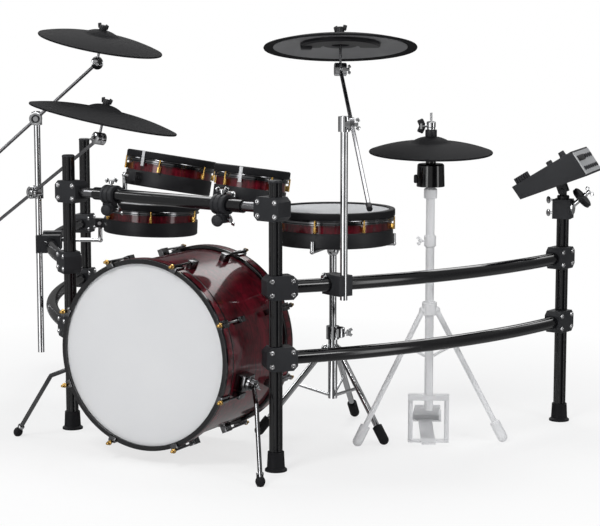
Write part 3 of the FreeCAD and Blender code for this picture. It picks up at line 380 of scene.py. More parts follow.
class Surface(Enum):
    BLACK_TUBE = Finish(
        "black_tube", (0.006, 0.006, 0.007), (0.0035, 0.0035, 0.0045), 0.11, 0.03,
        grain=1400.0, bump=0.03, specular=0.6)
    CLAMP_BLACK = Finish(
        "clamp_black", (0.031, 0.032, 0.035), (0.021, 0.0215, 0.024), 0.46, 0.12,
        grain=1800.0, bump=0.2, specular=0.2)
    BOLT_STEEL = Finish(
        "bolt_steel", (0.62, 0.62, 0.63), (0.45, 0.45, 0.46), 0.24, 0.1, metallic=1.0)
    TUBE_STEEL = BrushedMetal(
        "tube_steel", (0.3, 0.3, 0.31), (0.17, 0.17, 0.18), 0.26, 0.12, metallic=1.0, bump=0.04,
        slot="chrome")
    RUBBER_BLACK = Finish(
        "rubber_black", (0.014, 0.014, 0.0155), (0.008, 0.008, 0.0095), 0.6, 0.12,
        grain=1200.0, bump=0.2, specular=0.14)
    CYMBAL_RUBBER = TurnedRubber(
        "cymbal_rubber", (0.016, 0.016, 0.017), (0.009, 0.009, 0.01), 0.7, 0.1,
        grain=1500.0, bump=0.22, depth=0.0004, specular=0.05, slot="rubber_black")
    WINE_LACQUER = FiguredLacquer(
        "wine_lacquer", (0.08, 0.0022, 0.0075), (0.02, 0.0006, 0.002), 0.3,
        coat=0.8, bump=0.02, depth=0.0002, specular=0.08)
    HOOP_BLACK = Finish(
        "hoop_black", (0.006, 0.006, 0.007), (0.004, 0.004, 0.005), 0.13, 0.06,
        coat=0.2, grain=300.0, bump=0.02, specular=0.5)
    HEAD_WHITE = Finish(
        "head_white", (0.83, 0.83, 0.835), (0.77, 0.775, 0.785), 0.4, 0.08,
        drift=3.0, grain=2500.0, bump=0.06, specular=0.3)
    MESH_HEAD = WovenMesh(
        "mesh_head", (0.7, 0.71, 0.72), (0.5, 0.51, 0.525), 0.62, 0.1,
        bump=0.3, depth=0.0003, specular=0.25)
    MESH_DARK = WovenMesh(
        "mesh_dark", (0.05, 0.05, 0.052), (0.02, 0.02, 0.022), 0.62, 0.1,
        bump=0.3, depth=0.0003, specular=0.25, slot="mesh_head")
    BLACK_NICKEL = Finish(
        "black_nickel", (0.2, 0.2, 0.205), (0.09, 0.09, 0.095), 0.14, 0.08,
        metallic=1.0, grain=500.0, bump=0.03)
    GOLD = Finish(
        "gold_plate", (0.8, 0.52, 0.17), (0.6, 0.36, 0.09), 0.19, 0.1,
        metallic=1.0, grain=500.0, bump=0.03, slot="gold_lug")
    CHROME = Finish(
        "chrome_plate", (0.66, 0.665, 0.675), (0.5, 0.505, 0.515), 0.1, 0.06,
        metallic=1.0, grain=300.0, drift=30.0, bump=0.015, slot="chrome")
    BASE_BLACK = Finish(
        "base_black", (0.02, 0.02, 0.022), (0.012, 0.012, 0.014), 0.42, 0.1,
        grain=2000.0, bump=0.18, specular=0.24)
    PALE_STAND = Finish(
        "pale_stand", (0.97, 0.97, 0.975), (0.93, 0.93, 0.94), 0.34, 0.08,
        coat=0.1, grain=600.0, bump=0.03, specular=0.4)
    JACK_SILVER = BrushedMetal(
        "jack_silver", (0.7, 0.705, 0.715), (0.54, 0.545, 0.555), 0.34, 0.14,
        metallic=0.15, bump=0.08)
    KNOB_GREY = Finish(
        "knob_grey", (0.042, 0.042, 0.045), (0.026, 0.026, 0.03), 0.5, 0.1, bump=0.15, specular=0.22)
    UNDER_GREY = Finish(
        "under_plate_grey", (0.2, 0.2, 0.205), (0.14, 0.14, 0.145), 0.42, 0.1, bump=0.1, specular=0.3,
        slot="knob_grey")
    SCREEN = Finish(
        "screen_glass", (0.012, 0.014, 0.018), (0.008, 0.009, 0.012), 0.08, 0.04, coat=0.6, bump=0.01,
        slot="base_black")
    FELT = Finish(
        "felt_grey", (0.06, 0.06, 0.062), (0.035, 0.035, 0.037), 0.95, 0.05,
        grain=700.0, bump=0.6, depth=0.001, specular=0.1, slot="rubber_black")

    @property
    def slot(self) -> str:
        """The record's slot that the finish belongs to."""
        return self.value.slot or self.value.name

    @property
    def material(self) -> bpy.types.Material:
        """The finish's material, made on first use."""
        return bpy.data.materials.get(self.value.title) or self.value.build()


def add_piece(name: str, mesh: Mesh, surface: Surface, body: str, place: Matrix | None = None,
              replaces: Sequence[str] = ()) -> None:
    """Turn a mesh into a piece that rides on a body.

    Args:
        name: the piece's name.
        mesh: its geometry, which is used up.
        surface: its finish.
        body: the CAD body that it rides on.
        replaces: CAD nodes that it stands for.
    """
    data = bpy.data.meshes.new(name)
    bmesh.ops.recalc_face_normals(mesh, faces=mesh.faces[:])
    mesh.to_mesh(data)
    mesh.free()
    data.shade_smooth()
    data.set_sharp_from_angle(angle=SMOOTH_LIMIT)
    data.materials.append(surface.material)
    piece = bpy.data.objects.new(name, data)
    bpy.context.scene.collection.objects.link(piece)
    if place:
        piece.matrix_world = place
    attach(piece, body)
    surface.slot
    if replaces:
        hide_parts(*replaces)
    LOG.info("%s rides on %s", name, body)


def scaled(shares: Profile, radius: float, height: float) -> list[Pair]:
    """Stretch a profile from shares of a radius and a height to sizes."""
    return [(r * radius, z * height) for r, z in shares]


def shifted(profile: Profile, radius: float, height: float) -> list[Pair]:
    """Move a profile out and up."""
    return [(r + radius, z + height) for r, z in profile]


def lathe(profile: Profile, steps: int, closed: bool = False, place: Matrix | None = None) -> Mesh:
    """Turn a profile of (radius, z) about +Z.

    Args:
        profile: the points, from one end to the other.
        steps: divisions of the turn.
        closed: whether the last point joins the first.
        place: where it stands.

    Returns:
        The turned mesh.
    """
    mesh = bmesh.new()
    rings = []
    for radius, z in profile:
        if radius < WELD:
            rings.append([mesh.verts.new((0.0, 0.0, z))] * steps)
            continue
        turns = (2 * math.pi * step / steps for step in range(steps))
        rings.append([mesh.verts.new((radius * math.cos(t), radius * math.sin(t), z)) for t in turns])
    pairs = list(zip(rings, rings[1:]))
    if closed:
        pairs.append((rings[-1], rings[0]))
    for low, high in pairs:
        for step in range(steps):
            after = (step + 1) % steps
            quad = list(dict.fromkeys([low[step], low[after], high[after], high[step]]))
            if len(quad) > 2:
                mesh.faces.new(quad)
    if place:
        mesh.transform(place)
    return mesh


def sector(profile: Profile, first: float, last: float, steps: int) -> Mesh:
    """Turn a closed profile of (radius, z) part of the way about +Z, with flat ends.

    Args:
        profile: the outline's points.
        first: where it starts, in degrees.
        last: where it ends, in degrees.
        steps: divisions of the turn.

    Returns:
        The turned mesh.
    """
    mesh = bmesh.new()
    turns = [math.radians(first + (last - first) * step / steps) for step in range(steps + 1)]
    rings = [[mesh.verts.new((r * math.cos(t), r * math.sin(t), z)) for r, z in profile] for t in turns]
    count = len(profile)
    for low, high in zip(rings, rings[1:]):
        for index in range(count):
            after = (index + 1) % count
            mesh.faces.new((low[index], low[after], high[after], high[index]))
    mesh.faces.new(rings[0])
    mesh.faces.new(rings[-1][::-1])
    return mesh


def arc(start: Pair, through: Pair, end: Pair, steps: int) -> list[Pair]:
    """Points of the circle arc through three points.

    Args:
        start: first point.
        through: a point between.
        end: last point.
        steps: divisions.

    Returns:
        The points, both ends among them.
    """
    (ax, ay), (bx, by), (cx, cy) = start, through, end
    d = 2 * (ax * (by - cy) + bx * (cy - ay) + cx * (ay - by))
    a2, b2, c2 = ax * ax + ay * ay, bx * bx + by * by, cx * cx + cy * cy
    ox = (a2 * (by - cy) + b2 * (cy - ay) + c2 * (ay - by)) / d
    oy = (a2 * (cx - bx) + b2 * (ax - cx) + c2 * (bx - ax)) / d
    radius = math.hypot(ax - ox, ay - oy)
    first = math.atan2(ay - oy, ax - ox)
    sweep = (math.atan2(cy - oy, cx - ox) - first + math.pi) % (2 * math.pi) - math.pi
    angles = [first + sweep * step / steps for step in range(steps + 1)]
    return [(ox + radius * math.cos(angle), oy + radius * math.sin(angle)) for angle in angles]


def soft_box(size: Sequence[float], bevel: float, place: Matrix | None = None, steps: int = 3) -> Mesh:
    """A box with rounded edges.

    Args:
        size: its three sizes.
        bevel: the rounding's radius.
        place: where it stands.
        steps: divisions of the rounding.

    Returns:
        The box.
    """
    mesh = bmesh.new()
    bmesh.ops.create_cube(mesh, size=1.0, matrix=Matrix.Diagonal((*size, 1.0)))
    bmesh.ops.bevel(mesh, geom=mesh.edges[:], offset=bevel, segments=steps, profile=0.5, affect="EDGES")
    if place:
        mesh.transform(place)
    return mesh


def merged(meshes: Iterable[Mesh]) -> Mesh:
    """Join several meshes into one.

    Args:
        meshes: the meshes, which are used up.

    Returns:
        The joined mesh.
    """
    whole = bmesh.new()
    for mesh in meshes:
        data = bpy.data.meshes.new("joined")
        mesh.to_mesh(data)
        mesh.free()
        whole.from_mesh(data)
        bpy.data.meshes.remove(data)
    return whole


def facing(place: Vector, axis: Vector, spin: float = 0.0) -> Matrix:
    """A frame at a place with its Z along an axis, and a spin about it in degrees."""
    turned = UP.rotation_difference(axis.normalized()).to_matrix().to_4x4()
    return Matrix.Translation(place) @ turned @ Matrix.Rotation(math.radians(spin), 4, "Z")


def mean(points: Sequence[Vector]) -> Vector:
    """The average of points."""
    return sum(points, Vector()) / len(points)


def box_middle(node: str) -> Vector:
    """The middle of a CAD node's box."""
    return mean(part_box(node))


def middle(group: Group) -> Vector:
    """The middle of a vertex group's box.

    Args:
        group: the vertices.

    Returns:
        The middle.
    """
    points = [vert.co for vert in group]
    low = Vector([min(p[i] for p in points) for i in range(3)])
    high = Vector([max(p[i] for p in points) for i in range(3)])
    return (low + high) / 2


def faces_of(group: Group) -> set[bmesh.types.BMFace]:
    """The faces that a vertex group carries."""
    return {face for vert in group for face in vert.link_faces}


def islands(mesh: Mesh) -> list[Group]:
    """Part a mesh's vertices into groups that hang together.

    Args:
        mesh: the mesh.

    Returns:
        The groups, in the order of their first vertices.
    """
    seen = set()
    groups = []
    for start in mesh.verts:
        if start in seen:
            continue
        seen.add(start)
        group = [start]
        for vert in group:
            others = [edge.other_vert(vert) for edge in vert.link_edges]
            fresh = [other for other in others if other not in seen]
            seen.update(fresh)
            group += fresh
        groups.append(group)
    return groups


def eased(mesh: Mesh, width: float, angle: float, steps: int) -> Mesh:
    """Round a mesh's sharp edges.

    Args:
        mesh: the mesh to round.
        width: the rounding's width.
        angle: edges sharper than this are rounded, in degrees.
        steps: divisions of the rounding.

    Returns:
        The same mesh.
    """
    limit = math.radians(angle)
    edges = [e for e in mesh.edges if len(e.link_faces) == 2 and e.calc_face_angle() > limit]
    bmesh.ops.bevel(mesh, geom=edges, offset=width, segments=steps, profile=0.6, affect="EDGES",
                    clamp_overlap=True)
    return mesh


def bar(start: Vector, way: Vector, radius: float, steps: int) -> Mesh:
    """A round bar with closed, eased ends.

    Args:
        start: one end's middle.
        way: from there to the other end.
        radius: the bar's radius.
        steps: divisions round it.

    Returns:
        The bar.
    """
    length = way.length
    inner, ease = radius * 0.9, radius * 0.1
    profile = [(0, 0), (inner, 0), (radius, ease), (radius, length - ease), (inner, length), (0, length)]
    return lathe(profile, steps, place=facing(start, way))


def collar(bore: float, radius: float, height: float, top_ease: float) -> Mesh:
    """A round collar with eased edges, standing on its origin.

    Args:
        bore: the hole's radius.
        radius: the outer radius.
        height: its height.
        top_ease: the upper edge's easing.

    Returns:
        The collar.
    """
    ease = 0.002
    profile = [(bore, 0.0), (radius - ease, 0.0), (radius, ease), (radius, height - top_ease),
               (radius - top_ease, height), (bore, height)]
    return lathe(profile, 40, True)


def wings(spot: Pair, lean: float, size: Triple, bevel: float) -> list[Mesh]:
    """Two rounded wings, one on each side of the Z axis.

    Args:
        spot: their distance from the axis and their height.
        lean: how far they spread, in radians.
        size: each wing's sizes.
        bevel: the rounding's radius.

    Returns:
        The wings.
    """
    out, rise = spot
    made = []
    for side in (-1, 1):
        place = Matrix.Translation((side * out, 0, rise)) @ Matrix.Rotation(side * lean, 4, "Y")
        made.append(soft_box(size, bevel, place))
    return made


def wing_screw(size: float, place: Matrix | None = None) -> Mesh:
    """A wing screw along +Z: shank, hub and two rounded wings.

    Args:
        size: the hub's radius.
        place: where it stands.

    Returns:
        The screw.
    """
    shares = ((0, -2.0), (0.55, -2.0), (0.55, 0), (1.0, 0.1), (1.0, 1.3), (0.75, 1.6), (0, 1.6))
    wing = (1.7 * size, 0.5 * size, 1.5 * size)
    pair = wings((1.65 * size, 1.5 * size), 0.5, wing, 0.24 * size)
    screw = merged([lathe(scaled(shares, size, size), 20), *pair])
    if place:
        screw.transform(place)
    return screw


def wing_nut(rise: float) -> Mesh:
    """A winged cymbal sleeve that sits on a bell.

    Args:
        rise: the bell's top.

    Returns:
        The nut.
    """
    sleeve = ((0.0082, 0.0), (0.012, 0.0), (0.012, 0.012), (0.0095, 0.0165), (0.0, 0.0175))
    pair = wings((0.0165, rise + 0.0125), 0.3, (0.014, 0.005, 0.0165), 0.0024)
    return merged([lathe(shifted(sleeve, 0.0, rise), 28), *pair])


@dataclass
class Assembly:
    nodes: dict[str, bpy.types.Object]
    joints: dict[str, dict]

    def pivot(self, joint: str) -> Vector:
        """A joint's place."""
        return Vector(self.joints[joint]["pos_m"])

    def axis(self, joint: str) -> Vector:
        """A joint's axis."""
        return Vector(self.joints[joint]["axis"])

    def points(self, name: str) -> list[Vector]:
        """A CAD node's vertices."""
        return [vert.co for vert in self.nodes[name].data.vertices]

    def dress(self, surface: Surface, *names: str) -> None:
        """Give CAD nodes a finish.

        Args:
            surface: the finish.
            names: the nodes.
        """
        for name in names:
            materials = self.nodes[name].data.materials
            materials.clear()
            materials.append(surface.material)

    def clean(self, name: str) -> Mesh:
        """A welded copy of a CAD node with its flat faces made whole.

        Args:
            name: the node.

        Returns:
            The copy.
        """
        mesh = bmesh.new()
        mesh.from_mesh(self.nodes[name].data)
        bmesh.ops.remove_doubles(mesh, verts=mesh.verts[:], dist=WELD)
        flat = math.radians(1.0)
        bmesh.ops.dissolve_limit(mesh, angle_limit=flat, verts=mesh.verts[:], edges=mesh.edges[:])
        return mesh

    def groups(self, name: str) -> Iterator[Group]:
        """A CAD node's solids, one after another.

        Args:
            name: the node.

        Returns:
            The solids' vertices, which last until the run ends.
        """
        mesh = self.clean(name)
        yield from islands(mesh)
        mesh.free()

    def only(self, name: str, keep: Callable[[Group], bool]) -> Mesh:
        """A clean copy of those of a CAD node's solids that pass a test.

        Args:
            name: the node.
            keep: the test.

        Returns:
            The copy.
        """
        mesh = self.clean(name)
        for group in islands(mesh):
            if not keep(group):
                bmesh.ops.delete(mesh, geom=group, context="VERTS")
        return mesh

    def ease(self, name: str, surface: Surface, width: float, angle: float, steps: int = 2,
             body: str = "rack", piece: str = "") -> None:
        """Stand a copy with rounded edges in for a CAD node, under its name or another."""
        mesh = eased(self.clean(name), width, angle, steps)
        add_piece(piece or f"{name}_eased", mesh, surface, body, replaces=(name,))


@dataclass
class Rack(Assembly):
    """Posts, feet, bars and the clamps that hold everything to them."""

    clamp_ease: float = 0.0022
    stand_ease: float = 0.004
    bolt_radius: float = 0.0062
    bolt_height: float = 0.0042
    cap_radius: float = 0.0197
    cap_skirt: float = 0.004
    cap_limit: float = 0.75
    screw_size: float = 0.0075
    screw_lift: float = 0.012
    screw_out: float = 0.006
    side_area: float = 0.0012
    side_slope: float = 0.1
    player_y: float = 0.6
    inner_radius: float = 0.0142
    inner_length: float = 0.118
    inner_back: float = 0.012
    ring_over: float = 0.0038
    collar_reach: float = 0.03

    def build(self) -> None:
        """Dress the tubes and make the clamps, bolts, caps, screws, bar ends and collars."""
        self.dress(Surface.BLACK_TUBE, "rack_posts", "front_bar", "side_bars")
        self.dress(Surface.RUBBER_BLACK, "post_feet")
        self.dress(Surface.CHROME, "boom_tubes", "tom_arms")
        self.ease("rack_clamps", Surface.CLAMP_BLACK, self.clamp_ease, 40.0, 3)
        blocks = eased(self.only("stand_clamps", self.off_bar), self.stand_ease, 40.0, 3)
        add_piece("stand_clamps_eased", blocks, Surface.CLAMP_BLACK, "rack", replaces=("stand_clamps",))
        self.bolts()
        self.caps()
        self.screws()
        self.bar_ends()
        self.tom_collars()

    def off_bar(self, group: Group) -> bool:
        """Tell whether a clamp sits elsewhere than on the front bar."""
        away = middle(group) - box_middle("front_bar")
        return max(abs(away.y), abs(away.z)) >= self.collar_reach

    def bolts(self) -> None:
        """Domed socket bolts in place of the plain heads."""
        clamps = [middle(group) for group in self.groups("rack_clamps")]
        shares = ((0, 0.1), (0.42, 0.1), (0.45, 0.95), (0.6, 1.05), (0.82, 0.9), (0.97, 0.5), (1.0, 0.3),
                  (1.25, 0.28), (1.3, 0.02))
        profile = scaled(shares, self.bolt_radius, self.bolt_height)
        made = []
        for group in self.groups("clamp_bolts"):
            flat = max(faces_of(group), key=lambda face: face.calc_area())
            spot = middle(group)
            clamp = min(clamps, key=lambda place: (place - spot).length)
            axis = flat.normal if flat.normal.dot(spot - clamp) > 0 else -flat.normal
            made.append(lathe(profile, 14, place=facing(spot - axis * self.bolt_height / 2, axis)))
        add_piece("clamp_socket_bolts", merged(made), Surface.BOLT_STEEL, "rack", replaces=("clamp_bolts",))

    def caps(self) -> None:
        """Plastic caps on the open post tops."""
        r, skirt = self.cap_radius, self.cap_skirt
        profile = [(0, 0.003), (r - 0.004, 0.003), (r - 0.001, 0.0015), (r, -0.001), (r, -skirt),
                   (r - 0.0008, -skirt)]
        made = []
        for group in self.groups("rack_posts"):
            top = max(vert.co.z for vert in group)
            if top >= self.cap_limit:
                x, y, _ = middle(group)
                made.append(lathe(profile, 40, place=Matrix.Translation((x, y, top))))
        add_piece("post_caps", merged(made), Surface.CLAMP_BLACK, "rack")

    def screws(self) -> None:
        """Wing screws on the outer face of each stand clamp."""
        made = []
        for group in self.groups("stand_clamps"):
            if not self.off_bar(group):
                continue
            upright = [face for face in faces_of(group) if abs(face.normal.z) < self.side_slope]
            sides = [face for face in upright if face.calc_area() > self.side_area]
            x, y, _ = middle(group)
            away = Vector((x, y - self.player_y, 0.0))
            outer = max(sides, key=lambda face: face.normal.dot(away))
            spot = outer.calc_center_median() + UP * self.screw_lift + outer.normal * self.screw_out
            made.append(wing_screw(self.screw_size, facing(spot, outer.normal, 35.0)))
        add_piece("clamp_wing_screws", merged(made), Surface.CHROME, "rack")

    def bar_ends(self) -> None:
        """The bright inner tube that shows at both ends of the front bar, and its end rings."""
        low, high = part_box("front_bar")
        reach = (high.x - low.x) / 2
        start, end = reach - self.inner_length, reach - self.inner_back
        r = self.inner_radius
        outer = r + self.ring_over
        sleeve = [(r - 0.001, start), (r, start), (r, end), (r - 0.001, end)]
        rim = [(r - 0.0005, start - 0.002), (outer - 0.001, start - 0.002), (outer, start),
               (outer - 0.0008, start + 0.005), (r - 0.0005, start + 0.006)]
        places = [facing((low + high) / 2, Vector((side, 0.0, 0.0))) for side in (-1, 1)]
        tubes = merged(lathe(sleeve, 48, True, place) for place in places)
        rings = merged(lathe(rim, 48, True, place) for place in places)
        add_piece("front_bar_inner_tubes", tubes, Surface.TUBE_STEEL, "rack")
        add_piece("front_bar_end_rings", rings, Surface.RUBBER_BLACK, "rack")

    def tom_collars(self) -> None:
        """Turned collars on the front bar, each with a boss, a hanging grip and wing screws."""
        bar_line = box_middle("front_bar")
        along = Vector((1.0, 0.0, 0.0))
        half = [(0.0193, 0.024), (0.027, 0.024), (0.029, 0.022), (0.029, 0.0135), (0.027, 0.0125),
                (0.027, 0.006), (0.029, 0.005)]
        grooved = half + [(r, -z) for r, z in reversed(half)]
        knob = ((0, 0.019), (0.011, 0.019), (0.0155, 0.0165), (0.0175, 0.012), (0.016, 0.0), (0, 0.0))
        knob_at, knob_way = Vector((-0.002, -0.014, -0.043)), Vector((0.35, -0.93, -0.1))
        boxes = (((0.038, 0.034, 0.04), 0.007, (0.0, 0.026, 0.0)),
                 ((0.03, 0.036, 0.032), 0.008, (0.0, 0.002, -0.037)))
        wing_spots = ((UP * 0.032, UP, 50.0), (Vector((0.021, 0.002, -0.043)), along, 30.0))
        blacks = []
        brights = []
        for group in self.groups("stand_clamps"):
            if self.off_bar(group):
                continue
            seat = Vector((middle(group).x, bar_line.y, bar_line.z))
            blacks.append(lathe(grooved, 48, True, facing(seat, along)))
            for size, bevel, spot in boxes:
                blacks.append(soft_box(size, bevel, Matrix.Translation(seat + Vector(spot))))
            blacks.append(lathe(knob, 32, place=facing(seat + knob_at, knob_way)))
            for spot, axis, turn in wing_spots:
                brights.append(wing_screw(self.screw_size, facing(seat + spot, axis, turn)))
        add_piece("tom_clamp_collars", merged(blacks), Surface.CLAMP_BLACK, "rack")
        add_piece("tom_clamp_screws", merged(brights), Surface.CHROME, "rack")


@dataclass
class KickDrum(Assembly):
    """The kick drum with its hoops, heads, claws and spurs."""

    hoop_ease: float = 0.004
    claw_ease: float = 0.0015
    bracket_ease: float = 0.003
    flange: float = 0.0072
    key: float = 0.0034
    key_rise: float = 0.017
    tip_depth: float = 1e-4
    wing: float = 0.0065
    bulb: float = 0.0135
    shin: float = 0.06
    leg_top: float = 0.1
    wing_out: float = 0.012
    inlay: float = 0.024
    inlay_back: float = 0.022

    def build(self) -> None:
        """Dress the drum and make its eased hoops, claws, gold bolts and spurs."""
        self.dress(Surface.WINE_LACQUER, "kick_shell")
        self.dress(Surface.HEAD_WHITE, "kick_front_head")
        self.dress(Surface.MESH_DARK, "kick_batter_head")
        self.dress(Surface.BASE_BLACK, "kick_sensor")
        self.ease("kick_hoops", Surface.HOOP_BLACK, self.hoop_ease, 60.0, 3)
        self.inlays()
        self.ease("kick_claws", Surface.BLACK_NICKEL, self.claw_ease, 50.0)
        self.ease("spur_brackets", Surface.BLACK_NICKEL, self.bracket_ease, 50.0)
        self.gold_bolts()
        for name in ("left_spur", "right_spur"):
            self.spur(name)

    def line(self) -> tuple[Vector, Vector]:
        """The drum's middle, and its axis from there to the front."""
        front, rear = box_middle("kick_front_head"), box_middle("kick_batter_head")
        return (front + rear) / 2, (front - rear).normalized()

    def inlays(self) -> None:
        """A lacquered band round each hoop."""
        center, axis = self.line()
        away = [point - center for point in self.points("kick_hoops")]
        edge = max((way - axis * way.dot(axis)).length for way in away)
        reach = max(abs(way.dot(axis)) for way in away)
        width = self.inlay / 2
        profile = shifted(((-0.001, -width), (0.0005, -width), (0.0007, 0.0), (0.0005, width),
                           (-0.001, width)), edge, 0.0)
        for name, way in (("front", axis), ("rear", -axis)):
            place = facing(center + way * (reach - self.inlay_back), way)
            band = lathe(profile, 160, True)
            add_piece(f"kick_{name}_hoop_inlay", band, Surface.WINE_LACQUER, "rack", place)

    def gold_bolts(self) -> None:
        """Gold key bolts with a round flange on every claw."""
        center, axis = self.line()
        flange, key, rise = self.flange, self.key, self.key_rise
        profile = [(0, -0.006), (flange, -0.006), (flange, -0.0035), (flange * 0.8, 0.0),
                   (key * 1.3, 0.001), (0, 0.001)]
        made = []
        for group in self.groups("kick_claws"):
            way = axis if (middle(group) - center).dot(axis) > 0 else -axis
            reach = max(vert.co.dot(way) for vert in group)
            spot = mean([vert.co for vert in group if vert.co.dot(way) > reach - self.tip_depth])
            head = soft_box((key * 2, key * 2, rise * 0.6), 0.0008, Matrix.Translation((0, 0, rise * 0.25)))
            bolt = merged([lathe(profile, 18), head])
            bolt.transform(facing(spot, way))
            made.append(bolt)
        add_piece("kick_gold_bolts", merged(made), Surface.GOLD, "rack")

    def spur(self, name: str) -> None:
        """Split a spur into its plated leg and its rubber tip.

        Args:
            name: the spur's node and body.
        """
        leg = self.only(name, lambda group: max(vert.co.z for vert in group) > self.leg_top)
        ends = sorted((vert.co.copy() for vert in leg.verts), key=lambda point: point.z)
        add_piece(f"{name}_leg", leg, Surface.BLACK_NICKEL, name, replaces=(name,))
        above = [point for point in ends if point.z > ends[0].z + self.shin]
        knee, ankle = (mean([point for point in run if point.z < run[0].z + self.shin / 3])
                       for run in (above, ends))
        up = (knee - ankle).normalized()
        place = facing(ankle - up * (ankle.z / up.z), up)
        round_side = arc((0.0005, 0.0), (self.bulb, self.bulb * 0.95), (0.009, self.bulb * 2.1), 12)
        bulb = lathe([(0, 0), *round_side, (0.0085, 0.036), (0, 0.036)], 28)
        add_piece(f"{name}_tip", bulb, Surface.RUBBER_BLACK, name, place, (name,))
        ring = lathe([(0.0062, 0.034), (0.0098, 0.034), (0.0104, 0.0355), (0.0104, 0.0395), (0.0098, 0.041),
                      (0.0062, 0.041)], 28, True)
        add_piece(f"{name}_tip_ring", ring, Surface.CHROME, name, place)
        hub, axis = self.pivot(f"{name}_fold"), self.axis(f"{name}_fold")
        if axis.dot(hub - self.line()[0]) < 0:
            axis.negate()
        place = facing(hub + axis * self.wing_out, axis, 60.0)
        add_piece(f"{name}_wing_bolt", wing_screw(self.wing), Surface.CHROME, name, place)


@dataclass
class PadDrum(Assembly):
    """A mesh-head pad: snare or tom."""

    name: str
    strip_turn: float | None = None
    strip_size: Triple = (0.0026, 0.0105, 0.045)
    strip_drop: float = 0.0235
    base_ease: float = 0.002
    lug_ease: float = 0.0011
    lug_drop: float = 0.0205
    jack_in: float = 0.01
    jack_turn: float = 165.0
    jack_drop: float = 0.082
    rubber: Profile = (
        (-0.0175, -0.0045), (-0.0175, -0.0015), (-0.0162, -0.0003), (-0.0145, 0.0), (-0.0045, 0.0),
        (-0.0018, -0.0009), (-0.0004, -0.0026), (0.0, -0.005), (0.0, -0.019), (-0.0006, -0.0204),
        (-0.002, -0.021), (-0.0085, -0.021), (-0.0095, -0.0045))
    hoop: Profile = (
        (-0.0095, -0.0212), (-0.0035, -0.0212), (-0.0016, -0.0218), (-0.0012, -0.0232), (-0.003, -0.0246),
        (-0.0048, -0.0258), (-0.0048, -0.031), (-0.0036, -0.0324), (-0.0024, -0.0332), (-0.0024, -0.035),
        (-0.0095, -0.035))

    def build(self) -> None:
        """Dress the shell and head, and make the rim, hoop, base, lugs, jack and strip."""
        name = self.name
        self.dress(Surface.MESH_HEAD, f"{name}_head")
        self.dress(Surface.WINE_LACQUER, f"{name}_shell")
        rim = self.clean(f"{name}_rim")
        points = [self.frame.inverted() @ vert.co for vert in rim.verts]
        rim.free()
        reach, top = max(point.xy.length for point in points), max(point.z for point in points)
        for piece, profile, surface in (("rubber_rim", self.rubber, Surface.RUBBER_BLACK),
                                        ("hoop", self.hoop, Surface.BLACK_NICKEL)):
            ring = lathe(shifted(profile, reach, top), 112, True)
            add_piece(f"{name}_{piece}", ring, surface, name, self.frame, (f"{name}_rim",))
        self.ease(f"{name}_base", Surface.BASE_BLACK, self.base_ease, 40.0, body=name)
        lugs = eased(self.below_rim(top), self.lug_ease, 50.0, 2)
        add_piece(f"{name}_lugs_eased", lugs, Surface.GOLD, name, replaces=(f"{name}_lugs",))
        self.jack(reach - self.jack_in)
        if self.strip_turn is not None:
            front = self.frame.to_3x3().inverted() @ Vector((0.0, -1.0, 0.0))
            turn = math.atan2(front.y, front.x) + math.radians(self.strip_turn)
            spot = Matrix.Translation((reach, 0.0, top - self.strip_drop))
            place = self.frame @ Matrix.Rotation(turn, 4, "Z") @ spot
            strip = soft_box(self.strip_size, 0.0009)
            add_piece(f"{name}_front_strip", strip, Surface.JACK_SILVER, name, place)

    @cached_property
    def frame(self) -> Matrix:
        """The pad's own frame: its origin in the head, and Z out of it."""
        head = self.clean(f"{self.name}_head")
        flats = sorted(head.faces, key=lambda face: face.calc_area())[-2:]
        flat = max(flats, key=lambda face: face.calc_center_median().z)
        axis = flat.normal if flat.normal.z > 0 else -flat.normal
        frame = facing(flat.calc_center_median(), axis)
        head.free()
        return frame

    def below_rim(self, top: float) -> Mesh:
        """The lugs, cut off under the rubber rim.

        Args:
            top: the rim's top over the head.

        Returns:
            The lugs' mesh.
        """
        lugs = self.clean(f"{self.name}_lugs")
        spot = self.frame @ Vector((0.0, 0.0, top - self.lug_drop))
        everything = [*lugs.verts, *lugs.edges, *lugs.faces]
        axis = self.frame.to_3x3().col[2]
        cut = bmesh.ops.bisect_plane(lugs, geom=everything, plane_co=spot, plane_no=axis, clear_outer=True)
        edges = [item for item in cut["geom_cut"] if isinstance(item, bmesh.types.BMEdge)]
        bmesh.ops.holes_fill(lugs, edges=edges)
        return lugs

    def jack(self, radius: float) -> None:
        """A jack housing with a plated nut on the base's side.

        Args:
            radius: the housing's distance from the pad's axis.
        """
        turn = Matrix.Rotation(math.radians(self.jack_turn), 4, "Z")
        place = self.frame @ turn @ Matrix.Translation((radius, 0.0, -self.jack_drop))
        box = soft_box((0.024, 0.03, 0.026), 0.004)
        add_piece(f"{self.name}_jack_box", box, Surface.BASE_BLACK, self.name, place)
        outward = Matrix.Translation((0.0115, 0.0, 0.0)) @ Matrix.Rotation(math.pi / 2, 4, "Y")
        nut = lathe([(0.0032, 0.006), (0.0032, 0.0), (0.0075, 0.0), (0.0075, 0.0022), (0.0055, 0.003),
                     (0.0048, 0.006)], 18, True, outward)
        add_piece(f"{self.name}_jack_nut", nut, Surface.CHROME, self.name, place)


